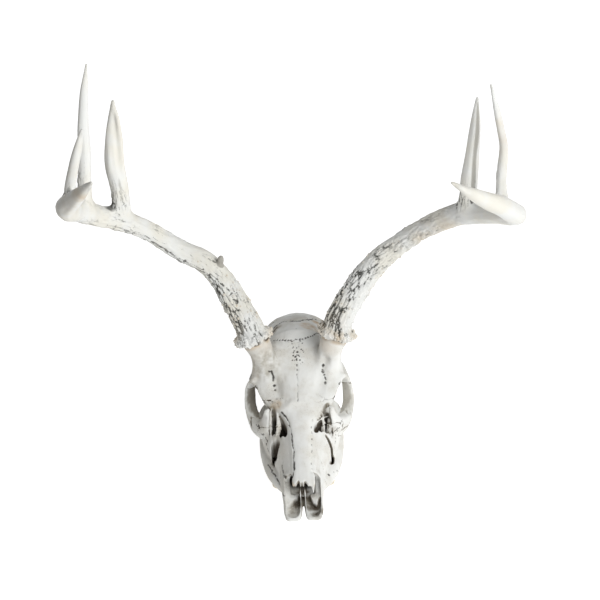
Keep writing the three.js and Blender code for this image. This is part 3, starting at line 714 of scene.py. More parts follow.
CORNERS = list(itertools.product((0, 1), repeat=3))
CELL_EDGES = [(a, b) for a in CORNERS for b in CORNERS
              if a < b and sum(abs(p - q) for p, q in zip(a, b)) == 1]


def cell_keys(index):
    """One number for each cell, from its three."""
    return (index + 8).T @ np.array([1 << 40, 1 << 20, 1], np.int64)


def draw_surface(field, low, high, cell):
    """Vertices (n, 3) and outward quads round the places where the field is below zero."""
    samples = Samples(field, low, high, cell)
    flat = samples.values.reshape(len(samples.values), -1)
    crossing = np.flatnonzero((flat.min(1) < 0) & (flat.max(1) > 0))
    values, blocks = samples.values[crossing], samples.blocks[:, crossing]

    def corner(offset):
        return values[(slice(None),) + tuple(slice(o, o + CELLS) for o in offset)]

    inside = sum((corner(c) < 0).astype(np.int8) for c in CORNERS)
    cell = np.nonzero((inside > 0) & (inside < 8))
    at = {c: corner(c)[cell] for c in CORNERS}
    place = np.zeros((3, len(cell[0])))
    hits = np.zeros(len(cell[0]))
    for a, b in CELL_EDGES:
        hit = (at[a] < 0) != (at[b] < 0)
        share = np.where(hit, at[a] / np.where(hit, at[a] - at[b], 1), 0)
        for axis in range(3):
            place[axis] += np.where(hit, a[axis] + share * (b[axis] - a[axis]), 0)
        hits += hit
    index = np.stack([blocks[axis][cell[0]] + cell[axis + 1] for axis in range(3)])
    vertices = samples.low + (index + place / hits).T * samples.cell
    keys = cell_keys(index)
    order = np.argsort(keys)
    keys = keys[order]
    quads = []
    for axis in range(3):
        nodes = values[:, :CELLS, :CELLS, :CELLS] < 0
        step = [0, 0, 0]
        step[axis] = 1
        ahead = corner(step) < 0
        edge = np.nonzero(nodes != ahead)
        start = np.stack([blocks[k][edge[0]] + edge[k + 1] for k in range(3)])
        leaving = nodes[edge]
        one, two = [k for k in range(3) if k != axis]
        if axis == 1:
            one, two = two, one
        ring = []
        for back_one, back_two in ((0, 0), (1, 0), (1, 1), (0, 1)):
            around = start.copy()
            around[one] -= back_one
            around[two] -= back_two
            key = cell_keys(around)
            found = np.clip(np.searchsorted(keys, key), 0, len(keys) - 1)
            ring.append(np.where(keys[found] == key, order[found], -1))
        ring = np.stack(ring, 1)
        ring = np.where(leaving[:, None], ring, ring[:, ::-1])
        quads.append(ring[(ring >= 0).all(1)])
    return vertices, np.concatenate(quads)


def relax(vertices, quads, rounds):
    """Moves every vertex half the way to the middle of its neighbours, so many times."""
    one, two = np.concatenate([quads[:, [k, (k + 1) % 4]] for k in range(4)]).T
    many = len(vertices)
    count = np.bincount(one, minlength=many) + np.bincount(two, minlength=many)
    for _ in range(rounds):
        total = np.stack([
            np.bincount(one, column[two], many) + np.bincount(two, column[one], many)
            for column in vertices.T], 1)
        vertices = vertices + 0.5 * (total / np.maximum(count, 1)[:, None] - vertices)
    return vertices


def vertex_normals(vertices, quads):
    corners = vertices[quads]
    face = np.cross(corners[:, 2] - corners[:, 0], corners[:, 3] - corners[:, 1])
    normal = np.stack([
        sum(np.bincount(quads[:, k], face[:, axis], len(vertices)) for k in range(4))
        for axis in range(3)], 1)
    return normal / np.maximum(np.linalg.norm(normal, axis=1), 1e-9)[:, None]


def outline_distance(corners, y, z):
    """How far y and z are outside an outline, negative within it."""
    best = np.full(y.shape, 1e6, np.float32)
    inside = np.zeros(y.shape, bool)
    for (y0, z0), (y1, z1) in zip(corners, corners[1:] + corners[:1]):
        wy, wz = y1 - y0, z1 - z0
        t = np.clip(((y - y0) * wy + (z - z0) * wz) / (wy * wy + wz * wz), 0, 1)
        best = np.minimum(best, (y - y0 - t * wy) ** 2 + (z - z0 - t * wz) ** 2)
        if wz:
            inside ^= ((z0 > z) != (z1 > z)) & (y < wy * (z - z0) / wz + y0)
    best = np.sqrt(best)
    return np.where(inside, -best, best)


CRUMB = 0.02


def largest_parts(vertices, quads):
    """Leaves out crumbs: the loose parts with no more than this share of the vertices."""
    label = np.arange(len(vertices))
    while True:
        low = label[quads].min(1)
        lower = label.copy()
        for k in range(4):
            np.minimum.at(lower, quads[:, k], low)
        lower = lower[lower]
        if (lower == label).all():
            break
        label = lower
    counts = np.bincount(label, minlength=len(vertices))
    keep = counts[label] > CRUMB * len(vertices)
    number = np.cumsum(keep) - 1
    return vertices[keep], number[quads[keep[quads].all(1)]]


def sculpt(field, low, high, cell, rounds=2):
    """Vertices, quads and normals of a smoothed surface without crumbs."""
    vertices, quads = largest_parts(*draw_surface(field, low, high, cell))
    vertices = relax(vertices, quads, rounds)
    return vertices, quads, vertex_normals(vertices, quads)


# ------------------------------------------------------------------ the skull as one solid
def first_steps():
    return [join(Loft(CORE, 3, 2.4)), join(Loft(ROSTRUM, 1.7, 3), 5),
            join(Loft(FRONTAL_ROOF, 2.2, 2.6), 4)]


def sliver_tubes():
    return [Tube(rows, facing=(rows[0][0] * 0.4, 60, 110)) for rows in SLIVERS]


def skull_steps():
    """The whole skull, joined and hollowed in order."""
    scoop = Loft(PREMAXILLA_SCOOP, 7, 2.4, middle=PREMAXILLA_MIDDLE)
    steps = first_steps() + [
        join(Loft(BRAINCASE), 7),
        join(Tube(PEDICLE, True), 9),
        join(Loft(FOREHEAD, 2.2, 2), 14),
        cut(Ball((63, 160, 104), (14, 12, 13), True), 9),  # above the orbit
        join(Tube(ALVEOLAR_RIDGE, True), 4),
        cut(Block((-18, 20, -6), (18, 156, 22)), 3),  # the palate's channel
        cut(Loft(NASAL_CAVITY, 2.4, 3), 1.5),
        cut(Ball((50, 142, 66.5), (25, 20, 15.5), True), 3),  # the orbit
        join(ToothRow(), 1.0),
        join(Tube(ZYGOMATIC_ARCH, True), 3),
        join(Tube(ORBIT_RIM, True, facing=ORBIT_CENTRE), 2.5),
        join(Tube(CHEEK_FACE, True), 7),
        join(Tube(PTERYGOID, True), 2),
        join(Tube(PAROCCIPITAL, True), 4),
        join(Ball((21, 222, 32), (9, 13, 9), True), 3),  # the ear bone
        join(Ball((12.5, 261, 37), (8.5, 10, 11), True), 3),  # the condyle
        join(Tube(NUCHAL_CREST), 4),
        cut(Ball((0, 266, 47), (9.5, 26, 9.5)), 2),  # the way of the spinal cord
        cut(Ball((40, 226, 48), (9, 4.5, 4), True), 1.5),  # the ear opening
        join(Loft(PREMAXILLA, 2, 3, middle=PREMAXILLA_MIDDLE), 3),
        cut(Loft(PREMAXILLA_SHELF, 7, 2.4, middle=PREMAXILLA_MIDDLE), 1.0),
        *[cut(Both(scoop, Prism(torn, 20, 70)), 0.5) for torn in (RIGHT_TORN, LEFT_TORN)],
        cut(Loft(NASAL_CAVITY, 2.4, 3), 1.0),
        join(Loft(NASALS, 2.4, 4), 2.0),
        join(Tube(NASAL_SPIKE), 1.5),
        cut(Prism(NASAL_FRONT, 46, 70), 0.3),
        cut(Block((-1.7, 6, 31), (1.7, 44, 47)), 0.8),  # between the premaxillae
        cut(Tube(BROW_GROOVE, True), 5),
        cut(Block((-21, 80, 30), (21, 108, 52)), 2),  # the back of the nose
    ]
    for side, openings in ((-1, RIGHT_OPENINGS), (1, LEFT_OPENINGS)):
        steps += [cut(Prism(outline, bottom, 90, side), 1.0) for bottom, outline in openings]
    return steps + [join(sliver, 0.8) for sliver in sliver_tubes()]


# ------------------------------------------------------------------ bones
class Area:
    """A bone's outline seen from the side, on both sides of the head from inner outwards."""

    START = (-30.0, -15.0)
    STEP = 0.5
    COUNT = (680, 330)

    def __init__(self, corners, inner=-FAR):
        y, z = np.meshgrid(*[start + self.STEP * np.arange(count, dtype=np.float32)
                             for start, count in zip(self.START, self.COUNT)], indexing="ij")
        self.map = outline_distance(list(corners), y, z)
        self.inner = inner

    def distance(self, x, y, z):
        row, column = (np.clip((c - start) / self.STEP, 0, count - 1.01)
                       for c, start, count in zip((y, z), self.START, self.COUNT))
        i, j = row.astype(np.int32), column.astype(np.int32)
        s, t = row - i, column - j
        m = self.map
        found = (m[i, j] * (1 - s) + m[i + 1, j] * s) * (1 - t)
        found += (m[i, j + 1] * (1 - s) + m[i + 1, j + 1] * s) * t
        return np.maximum(found, self.inner - np.abs(x))


# Each bone's outline, and how far out it begins; in the order they are taken from the whole.
AREAS = {
    "premaxilla": (PREMAXILLA_AREA,), "maxilla": (MAXILLA_AREA,),
    "lacrimal": (LACRIMAL_AREA, 12), "zygomatic": (ZYGOMATIC_AREA, 30),
    "frontal": (FRONTAL_AREA,), "sphenoid": (CORE_AREA,), "occiput": (OCCIPUT_AREA,),
}
BONE_BOXES = {
    "nasal": ((-16, 16, 40), (16, 124, 86)),
    "premaxilla": ((-24, -3, 16), (24, 62, 76)),
    "maxilla": ((-50, 28, -3), (50, 170, 80)),
    "lacrimal": ((-50, 82, 40), (50, 134, 88)),
    "zygomatic": ((-62, 94, 18), (62, 188, 74)),
    "frontal": ((-62, 88, 58), (62, 196, 132)),
    "sphenoid": ((-44, 78, 16), (44, 190, 96)),
    "occiput": ((-46, 238, -3), (46, 276, 92)),
    "braincase": ((-52, 150, 18), (52, 256, 112)),
}


@functools.cache
def skull():
    """The skull's steps, what the nasals take of it, the bones' areas and the skull unhollowed."""
    share = [(y, half, widest, top + 14, bottom - 1) for y, half, widest, top, bottom in NASALS]
    share[0] = (15, 13.5) + share[0][2:]
    areas = {name: Area(*area) for name, area in AREAS.items()}
    hull = first_steps()
    hull.insert(2, join(Loft(NASALS, 2.4, 4), 2))
    hull.append(join(Loft(PREMAXILLA, 2, 3, middle=PREMAXILLA_MIDDLE), 3))
    return skull_steps(), Loft(share, 8, 4), areas, hull


def whole_field(points):
    return np.maximum(evaluate(skull()[0], points), -points[2])


def suture_wander(points):
    """How far a suture strays at a point: in y, in z, and in x near the middle line."""
    in_y, in_z = (1.3 * noise(points, 3.4, seed) + 0.8 * noise(points, 1.7, seed + 10)
                  for seed in (1, 2))
    return in_y, in_z, 0.5 * in_y


def suture_gap(points):
    """Half the gap at a suture: nearly closed, with open pores here and there."""
    x, y, z = points
    pores = smoothstep(0.1, 0.5, noise(points, 1.9, 5))
    nose = smoothstep(19, 16, np.abs(x)) * smoothstep(132, 126, y) * smoothstep(40, 46, z)
    brow = smoothstep(180, 184, y) * smoothstep(80, 84, z) + smoothstep(5, 2, np.abs(x)) * (z > 60)
    knit = np.clip(nose + brow, 0, 1)
    return (pores * 0.45 * (1 - knit) - 0.22 - 1.6 * knit).astype(np.float32)


def bone_field(name, side):
    """side is 1 for left, -1 for right, 0 for a bone in the middle."""
    areas = skull()[2]

    def field(points):
        body = whole_field(points)
        x, y, z = points
        share = np.full(x.shape, -FAR, np.float32)
        near = np.flatnonzero(body < 12)
        if not len(near):
            return np.maximum(body, share)
        p = points[:, near]
        stray = suture_wander(p)
        wandering = np.stack([p[0] + stray[2] * (np.abs(p[0]) > 4), p[1] + stray[0], p[2]])
        bound = skull()[1].distance(wandering.astype(np.float32))
        if name != "nasal":
            bound = -bound
            warped = p[1] + stray[0].astype(np.float32), p[2] + stray[1].astype(np.float32)
            for other, area in areas.items():
                found = area.distance(p[0], *warped)
                if other == name:
                    bound = np.maximum(bound, found)
                    break
                bound = np.maximum(bound, -found)
        if side:
            bound = np.maximum(bound, -side * (p[0] + stray[2].astype(np.float32)))
        share[near] = bound + suture_gap(p)
        return np.maximum(body, share)

    return field


def sculpt_bone(name, side, cell):
    low, high = np.array(BONE_BOXES[name], float)
    if side > 0:
        low[0] = -2
    elif side < 0:
        high[0] = 2
    vertices, quads, normal = sculpt(
        bone_field(name, side), low - 2 * cell, high + 2 * cell, cell)
    p = vertices.T
    wave = 0.35 * noise(p, 11, 21) + 0.16 * noise(p, 3.6, 22)
    grain = 0.09 * noise(p, (1.3, 7, 1.3), 23)
    flat = smoothstep(0.2, 1.2, vertices[:, 2])
    carved = 0.7 * ink_marks(vertices)
    vertices = vertices + normal * ((wave + grain - carved) * flat)[:, None]
    vertices[:, 2] = np.maximum(vertices[:, 2], 0)
    return vertices, quads


def on_surface(places):
    """Places (n, 3) moved on to the nearest surface of the skull."""
    places = np.array(places, float)
    for _ in range(5):
        here = whole_field(places.T.astype(np.float32))
        slope = np.stack([whole_field((places + step).T.astype(np.float32)) - here
                          for step in 0.5 * np.eye(3)], 1) / 0.5
        steep = np.maximum((slope * slope).sum(1), 0.3)
        places = places - (np.clip(here, -3, 3) / steep)[:, None] * slope
    return places


@functools.cache
def ink_places():
    """The drawn lines and the pits, laid on the skull."""
    lines = []
    for *look, places in INK_LINES:
        lines.append((*look, on_surface(spline(places, even_places(places, 5)))))
    pits = on_surface([pit[:3] for pit in INK_PITS])
    return lines, [(place, *pit[3:]) for place, pit in zip(pits, INK_PITS)]


def ink_marks(vertices):
    """Darkness of the drawn lines and pits at vertices (n, 3)."""
    p = vertices.T
    stray = np.stack([noise(p, 2.4, seed) for seed in (71, 72, 73)], 1)
    ink = np.zeros(len(vertices))
    lines, pits = ink_places()
    for width, dark, dash, wander, places in lines:
        strayed = vertices + wander * stray * (1, 1, 0.3)
        along = 0.0
        for start, end in zip(places, places[1:]):
            way = end - start
            length = np.linalg.norm(way)
            near = np.flatnonzero(np.abs(strayed - (start + end) / 2).max(1) < length / 2 + 4)
            off = strayed[near] - start
            t = np.clip(off @ way / length ** 2, 0, 1)
            away = np.linalg.norm(off - t[:, None] * way, axis=1)
            mark = dark * smoothstep(width * 1.7, width * 0.4, away)
            if dash:
                mark *= smoothstep(-0.2, 0.4, np.cos(2 * np.pi * (along + t * length) / dash))
            ink[near] = np.maximum(ink[near], mark)
            along += length
    for place, radius, dark in pits:
        away = np.linalg.norm(vertices - place + 0.4 * stray, axis=1)
        ink = np.maximum(ink, dark * smoothstep(radius * 1.5, radius * 0.5, away))
    first, _ = cells(p, 2.9, 74)
    field = smoothstep(11, 5, np.abs(p[0])) * smoothstep(152, 164, p[1]) * smoothstep(189, 183, p[1])
    return np.maximum(ink, field * smoothstep(0.38, 0.22, first) * (p[2] > 90))


def stains_and_shade(vertices):
    """Strengths of the ochre, the grey dirt and the darkness at vertices (n, 3); part of the dirt and most
    of the darkness are painted shade.
    """
    p = vertices.T
    uneven = 0.75 + 0.5 * noise(p, 4.5, 75) + 0.3 * noise(p, 1.6, 76)
    found = np.zeros((3, len(vertices)))
    for x, y, z, radius, *strengths in STAIN_AND_SHADE_PATCHES:
        share = smoothstep(radius, radius * 0.3, np.linalg.norm(vertices - (x, y, z), axis=1))
        found = np.maximum(found, np.outer(strengths, share))
    return found * uneven


def painted_nose_shade(points):
    """Painted shade: towards 1 for what lies deep inside the nose, save for the slivers in its openings."""
    x, y, z = points
    deep = smoothstep(1.5, 8, -evaluate(skull()[3], points))
    deep = deep * smoothstep(122, 114, y) * smoothstep(20, 26, z)
    deep = deep * np.maximum(smoothstep(40, 50, y), smoothstep(5.5, 3.5, np.abs(x)))
    sliver = np.min([sliver.distance(points) for sliver in sliver_tubes()], axis=0)
    return deep * (0.3 + 0.7 * smoothstep(0.2, 1.6, sliver))


def openness(vertices, normal, field):
    """1 where a place is open to the sky of its own surface, towards 0 deep in a hollow; the materials paint
    shade into hollows with it.
    """
    total = np.zeros(len(vertices))
    for reach, share in ((2.0, 0.35), (5.0, 0.35), (10.0, 0.3)):
        p = (vertices + normal * reach).T.astype(np.float32)
        total += share * np.clip(field(p) / reach, 0, 1)
    return total


# ------------------------------------------------------------------ meshes
CAD_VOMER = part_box("vomer")
ORIGIN = np.array([(CAD_VOMER[0][0] + CAD_VOMER[1][0]) / 2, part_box("premaxilla_left")[0][1], 0.0])


def add_object(name, data):
    made = bpy.data.objects.new(name, data)
    bpy.context.scene.collection.objects.link(made)
    return made


def make_piece(name, vertices, quads, material, marks):
    """A closed smooth mesh in the frame's place, from vertices in millimetres of the tables."""
    mesh = bpy.data.meshes.new(name)
    places = np.asarray(vertices) * MM + ORIGIN
    mesh.vertices.add(len(places))
    mesh.vertices.foreach_set("co", places.astype(np.float32).ravel())
    mesh.loops.add(quads.size)
    mesh.loops.foreach_set("vertex_index", quads.astype(np.int32).ravel())
    mesh.polygons.add(len(quads))
    mesh.polygons.foreach_set("loop_start", np.arange(0, quads.size, 4, dtype=np.int32))
    mesh.update(calc_edges=True)
    mesh.shade_smooth()
    for label, values in marks:
        values = np.asarray(values, np.float32)
        kind, field = ("FLOAT", "value") if values.ndim == 1 else ("FLOAT_VECTOR", "vector")
        mesh.attributes.new(label, kind, "POINT").data.foreach_set(field, values.ravel())
    mesh.materials.append(material)
    return add_object(name, mesh)


def settle(piece, slot, *nodes):
    """Puts a piece on the part's one body, and in the place of the CAD nodes that it stands for."""
    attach(piece, "root")
    if nodes:
        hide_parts(*nodes)


# ------------------------------------------------------------------ shader expressions
class Value:
    """A number socket that can be used in Python sums."""

    def __init__(self, shader, socket):
        self.shader, self.socket = shader, socket

    def operator(name, reflected=False):
        """A Math node for this value and another, in that order or reflected."""
        def made(self, other):
            first, second = (other, self) if reflected else (self, other)
            node = self.shader.node("ShaderNodeMath", {"operation": name}, {0: first, 1: second})
            return Value(self.shader, node.outputs[0])
        return made

    __add__, __radd__ = operator("ADD"), operator("ADD", True)
    __sub__, __rsub__ = operator("SUBTRACT"), operator("SUBTRACT", True)
    __mul__, __rmul__ = operator("MULTIPLY"), operator("MULTIPLY", True)

    def band(self, low, high):
        """This value brought smoothly from low..high to 0..1."""
        node = self.shader.node("ShaderNodeMapRange", {"interpolation_type": "SMOOTHSTEP"},
                                {"Value": self, "From Min": low, "From Max": high})
        return Value(self.shader, node.outputs[0])


def set_sockets(tree, node, sockets):
    """Links what is a socket and sets what is a number or a colour."""
    for name, value in sockets.items():
        if isinstance(value, Value):
            value = value.socket
        if isinstance(value, bpy.types.NodeSocket):
            tree.links.new(value, node.inputs[name])
        else:
            node.inputs[name].default_value = value


def add_node(tree, kind, settings=None, sockets=None):
    """A node of a shader or geometry tree; its settings are made before its sockets."""
    made = tree.nodes.new(kind)
    for name, value in (settings or {}).items():
        setattr(made, name, value)
    set_sockets(tree, made, sockets or {})
    return made


class Shader:
    """A material whose node tree is written as expressions."""

    def __init__(self, name):
        self.material = bpy.data.materials.new(name)
        self.material.use_nodes = True
        self.tree = self.material.node_tree
        self.tree.nodes.clear()
        self.surface = self.node("ShaderNodeBsdfPrincipled")
        self.node("ShaderNodeOutputMaterial", None, {0: self.surface.outputs[0]})

    def node(self, kind, settings=None, sockets=None):
        return add_node(self.tree, kind, settings, sockets)

    def place(self):
        return self.node("ShaderNodeTexCoord").outputs["Object"]

    def mark(self, name, vector=False):
        made = self.node("ShaderNodeAttribute", {"attribute_name": name})
        return made.outputs["Vector"] if vector else Value(self, made.outputs["Fac"])

    def noise(self, vector, scale, detail=3.0, roughness=0.55, stretch=None):
        if stretch:
            vector = self.node("ShaderNodeVectorMath", {"operation": "MULTIPLY"},
                               {0: vector, 1: stretch}).outputs[0]
        made = self.node("ShaderNodeTexNoise", None, {
            "Vector": vector, "Scale": scale, "Detail": detail, "Roughness": roughness})
        return Value(self, made.outputs[0])

    def cells(self, vector, scale):
        made = self.node("ShaderNodeTexVoronoi", None, {"Vector": vector, "Scale": scale})
        return Value(self, made.outputs["Distance"])

    def paint(self, ground, *layers):
        """A colour with others laid over it in order, each as strong as its factor."""
        found = rgba(ground)
        for factor, colour in layers:
            mix = self.node("ShaderNodeMix", {"data_type": "RGBA"},
                            {0: factor, 6: found, 7: rgba(colour)})
            found = mix.outputs[2]
        return found

    def finish(self, **sockets):
        """The material, with the surface's sockets set by name."""
        named = {name.replace("_", " "): value for name, value in sockets.items()}
        set_sockets(self.tree, self.surface, named)
        return self.material

    def bump(self, height, depth):
        return self.node("ShaderNodeBump", None, {
            "Height": height, "Distance": depth, "Strength": 1.0}).outputs[0]


def rgba(colour):
    return tuple(colour) + (1.0,)


SPECULAR = 0.12


@functools.cache
def bone_material():
    size = bpy.context.scene.deer_bone
    shader = Shader("bleached_bone")
    at = shader.place()
    clouds = shader.noise(at, 45, 4)
    grain = shader.noise(at, 900, 3, stretch=(1, 0.25, 1))
    pores = shader.cells(at, 700)
    pits = pores.band(0.28, 0.1) * clouds.band(0.45, 0.62)
    colour = shader.paint(
        size.colour,
        (clouds.band(0.4, 0.68), size.weathered),
        # Painted shade: hollows darken with the openness mark; the same colour is real dust in the pores
        # below.
        (shader.mark("openness").band(0.75, 0.15) * 0.85, size.hollow_dust_and_shade),
        (shader.mark("stain") * clouds.band(0.2, 0.45), size.stain),
        # The dirt mark is grey dirt in part, and painted shade in part.
        (shader.mark("dirt_and_shade") * 0.8, size.dirt_and_shade),
        (shader.mark("tooth"), size.tooth),
        # Painted shade: the inside mark darkens the nose cavity, the nose opening, the premaxillae's scoops
        # and the inner cheek faces.
        (shader.mark("inside") * 0.92, size.inside),
        (shader.mark("ink").band(0.1, 0.75) * 0.93, size.ink),
        (pits * 0.4, size.hollow_dust_and_shade))
    height = grain * 0.5 - pits * 0.8 + clouds * 0.6
    return shader.finish(Base_Color=colour, Roughness=0.62 + clouds * 0.15,
                         Normal=shader.bump(height, 0.0004), Specular_IOR_Level=SPECULAR)


@functools.cache
def antler_material():
    size = bpy.context.scene.deer_antler
    shader = Shader("weathered_antler")
    along = shader.mark("bark", vector=True)
    rough = shader.mark("rough")
    groove = shader.mark("groove")
    clouds = shader.noise(shader.place(), 30, 3)
    fine = shader.noise(along, 0.9, 4, 0.6)
    flecks = shader.noise(along, 0.55, 2, 0.5)
    # The groove mark is real grooves, made darker as painted shade on faces turned from the light.
    dark = groove.band(0.22, 0.6) * rough * fine.band(0.34, 0.52)
    spots = flecks.band(0.6, 0.66) * rough * groove.band(0.1, 0.5)
    colour = shader.paint(
        size.colour,
        (clouds.band(0.35, 0.65), size.cream),
        (dark * 0.95, size.fleck_and_shade),
        (spots * 0.9, size.fleck_and_shade),
        (shader.mark("stain") * clouds.band(0.3, 0.6), size.stain),
        # The dirt mark is grey dirt on the tips and the nub, and painted shade on the undersides and in the
        # furrows.
        (shader.mark("dirt_and_shade") * 0.85, size.dirt_and_shade),
        # Painted shade: hollows of the antler darken with the openness mark.
        (shader.mark("openness").band(0.72, 0.3) * 0.8, size.fleck_and_shade))
    height = fine * (0.25 + rough * 0.75)
    return shader.finish(Base_Color=colour, Roughness=0.5 + rough * 0.2,
                         Normal=shader.bump(height, 0.0006), Specular_IOR_Level=SPECULAR)


# ------------------------------------------------------------------ what a user may change
def colour_prop(name, description, default):
    return bpy.props.FloatVectorProperty(
        name=name, description=description, subtype="COLOR", size=3, min=0, max=1, default=default)


def length_prop(name, description, default, least, most):
    return bpy.props.FloatProperty(
        name=name, description=description, default=default, min=least, max=most, precision=4,
        unit="LENGTH")


class DEERSKULL_PG_bone(bpy.types.PropertyGroup):
    cell: length_prop("Fineness", "Size of the smallest faces of the bones", 0.0009, 0.0005, 0.005)
    colour: colour_prop("Bone", "Clean bleached bone", (0.815, 0.818, 0.795))
    weathered: colour_prop("Weathered", "Greyer patches of the bone", (0.73, 0.715, 0.665))
    # The inside colour is painted shade in the nose, its opening and scoops, and behind the cheek bones.
    inside: colour_prop("Inside", "Dark bone inside the nose", (0.07, 0.052, 0.035))
    ink: colour_prop("Lines", "Dirt in sutures and small pits", (0.05, 0.045, 0.04))
    # The dirt colour is real dirt, and painted shade on faces turned from the light.
    dirt_and_shade: colour_prop("Dirt", "Grey-brown dirt on the lower faces", (0.36, 0.33, 0.27))
    # The hollow colour is real dust in the pores, and painted shade in hollows.
    hollow_dust_and_shade: colour_prop("Hollows", "Dust in pits, holes and sutures", (0.20, 0.165, 0.11))
    stain: colour_prop("Stain", "Ochre stain round the pedicles", (0.50, 0.34, 0.17))
    tooth: colour_prop("Teeth", "Enamel of the cheek teeth", (0.70, 0.64, 0.52))


class DEERSKULL_PG_antler(bpy.types.PropertyGroup):
    cell: length_prop("Fineness", "Size of the smallest faces of the antlers", 0.00095, 0.0005, 0.005)
    bark: length_prop("Bark depth", "Depth of the grooves along the beams", 0.0015, 0, 0.003)
    pearl: length_prop("Pearl size", "Radius of the larger beads round the burrs", 0.0017, 0.0005, 0.004)
    colour: colour_prop("Antler", "Bleached antler", (0.79, 0.795, 0.775))
    cream: colour_prop("Cream", "Warmer patches of the antler", (0.77, 0.75, 0.68))
    # The fleck colour is real dirt in the grooves, and painted shade in hollows.
    fleck_and_shade: colour_prop("Flecks", "Dirt in the grooves", (0.05, 0.05, 0.042))
    stain: colour_prop("Stain", "Ochre stain round the burrs", (0.50, 0.36, 0.20))
    # The dirt colour is grey dirt on the tips, and painted shade on the undersides and in the furrows.
    dirt_and_shade: colour_prop("Dirt", "Grey dirt on the undersides and the tips", (0.30, 0.285, 0.25))


class DEERSKULL_PG_stage(bpy.types.PropertyGroup):
    floor: colour_prop("Floor", "Plain pale floor", (0.55, 0.55, 0.55))
    glow: bpy.props.FloatProperty(
        name="Floor glow", description="How brightly the floor is lit from below", default=0.85,
        min=0, subtype="FACTOR")
    key: bpy.props.FloatProperty(
        name="Key light", description="Power of the large lamp high in front of the skull", default=46,
        min=0, unit="POWER")
    sky: bpy.props.FloatProperty(
        name="Sky light", description="Strength of the even light from all round", default=0.18,
        min=0, subtype="FACTOR")


# ------------------------------------------------------------------ operators
SIDES = {"left": 1, "right": -1}


def bone_marks(name, vertices, normal):
    p = vertices.T
    wide = np.abs(p[0])

    def spot(outer, inner, x, y, z, flatten):
        """1 within the inner radius of a place on both sides, 0 beyond the outer one."""
        off = np.stack([wide - x, p[1] - y, (p[2] - z) * flatten])
        return smoothstep(outer, inner, np.linalg.norm(off, axis=0))

    pedicle = spot(16, 6, 38, 167, 116, 0.8)
    behind = spot(9, 3, 50, 168, 84, 0.7)
    stain = np.clip(pedicle * 0.8 + behind * 0.3, 0, 1) * (name in ("frontal", "braincase"))
    # Stains, and painted shade from the patches.
    ochre, dirt_and_shade, dark = stains_and_shade(vertices)
    # Painted shade: the inner faces of the cheek bones, which the skull shades, get grey and darkness, most
    # on the right.
    inner_cheek_shade = smoothstep(0.1, -0.3, normal[:, 0] * np.sign(p[0])) * (name == "zygomatic")
    dirt_and_shade = np.maximum(dirt_and_shade, inner_cheek_shade * np.where(p[0] < 0, 1, 0.75))
    # Painted shade: on the animal's right side, in front of the braincase, faces that turn to its right are
    # greyed.
    lee_shade = smoothstep(0.0, 0.6, -normal[:, 0]) * smoothstep(-5, -11, p[0]) * smoothstep(215, 190, p[1])
    dirt_and_shade = np.maximum(dirt_and_shade, lee_shade * (0.42 + 0.2 * noise(p, 14, 77)))
    dark = np.maximum(dark, inner_cheek_shade * np.where(p[0] < 0, 0.5, 0.15))
    # Painted shade deep in the nose.
    dark = np.maximum(dark, painted_nose_shade(p.astype(np.float32)))
    ink = ink_marks(vertices)
    if name == "frontal":
        for burr in (LEFT_BURR, RIGHT_BURR):
            height, across = Ring(*burr).coordinates(p)
            near = smoothstep(24, 20, across) * (height < 0) * (0.7 + 0.6 * noise(p, 5, 78))
            ochre = np.maximum(ochre, 0.7 * near * smoothstep(-13, -6, height))
            ink = np.maximum(ink, 0.75 * near * smoothstep(-7, -5.2, height))
    tooth = smoothstep(10, 7, p[2]) * (name == "maxilla") * smoothstep(17, 20, wide)
    return [("openness", openness(vertices, normal, whole_field)), ("ink", ink),
            ("stain", np.clip(np.maximum(stain, ochre), 0, 1)), ("dirt_and_shade", np.clip(dirt_and_shade, 0, 1)),
            ("inside", np.clip(dark, 0, 1)), ("tooth", tooth)]


def cell_size(group):
    return group.cell / MM * 1


def finish_bone(piece_name, bone, vertices, quads, slot, node):
    marks = bone_marks(bone, vertices, vertex_normals(vertices, quads))
    settle(make_piece(piece_name, vertices, quads, bone_material(), marks), slot, node)


def make_bone(piece_name, bone, side, slot, node):
    vertices, quads = sculpt_bone(bone, side, cell_size(bpy.context.scene.deer_bone))
    finish_bone(piece_name, bone, vertices, quads, slot, node)


def make_bone_pair(bone, node, slot="bone"):
    for word, side in SIDES.items():
        make_bone(f"{word}_{node}", bone, side, slot, f"{node}_{word}")
    return {"FINISHED"}


class PieceOperator:
    bl_options = {"REGISTER", "UNDO"}


class DEERSKULL_OT_nasals(PieceOperator, bpy.types.Operator):
    """Make the two nasal bones along the top of the nose"""
    bl_idname = "deerskull.nasals"
    bl_label = "Nasal bones"

    def execute(self, context):
        return make_bone_pair("nasal", "nasal")


class DEERSKULL_OT_premaxillae(PieceOperator, bpy.types.Operator):
    """Make the two premaxillae at the tip of the nose"""
    bl_idname = "deerskull.premaxillae"
    bl_label = "Premaxillae"

    def execute(self, context):
        return make_bone_pair("premaxilla", "premaxilla")


class DEERSKULL_OT_maxillae(PieceOperator, bpy.types.Operator):
    """Make the two maxillae with their cheek teeth"""
    bl_idname = "deerskull.maxillae"
    bl_label = "Maxillae and teeth"

    def execute(self, context):
        return make_bone_pair("maxilla", "maxilla_with_teeth")


class DEERSKULL_OT_lacrimals(PieceOperator, bpy.types.Operator):
    """Make the two lacrimals in front of the eyes"""
    bl_idname = "deerskull.lacrimals"
    bl_label = "Lacrimals"

    def execute(self, context):
        return make_bone_pair("lacrimal", "lacrimal")


class DEERSKULL_OT_zygomatics(PieceOperator, bpy.types.Operator):
    """Make the two cheek bones"""
    bl_idname = "deerskull.zygomatics"
    bl_label = "Cheek bones"

    def execute(self, context):
        return make_bone_pair("zygomatic", "zygomatic")


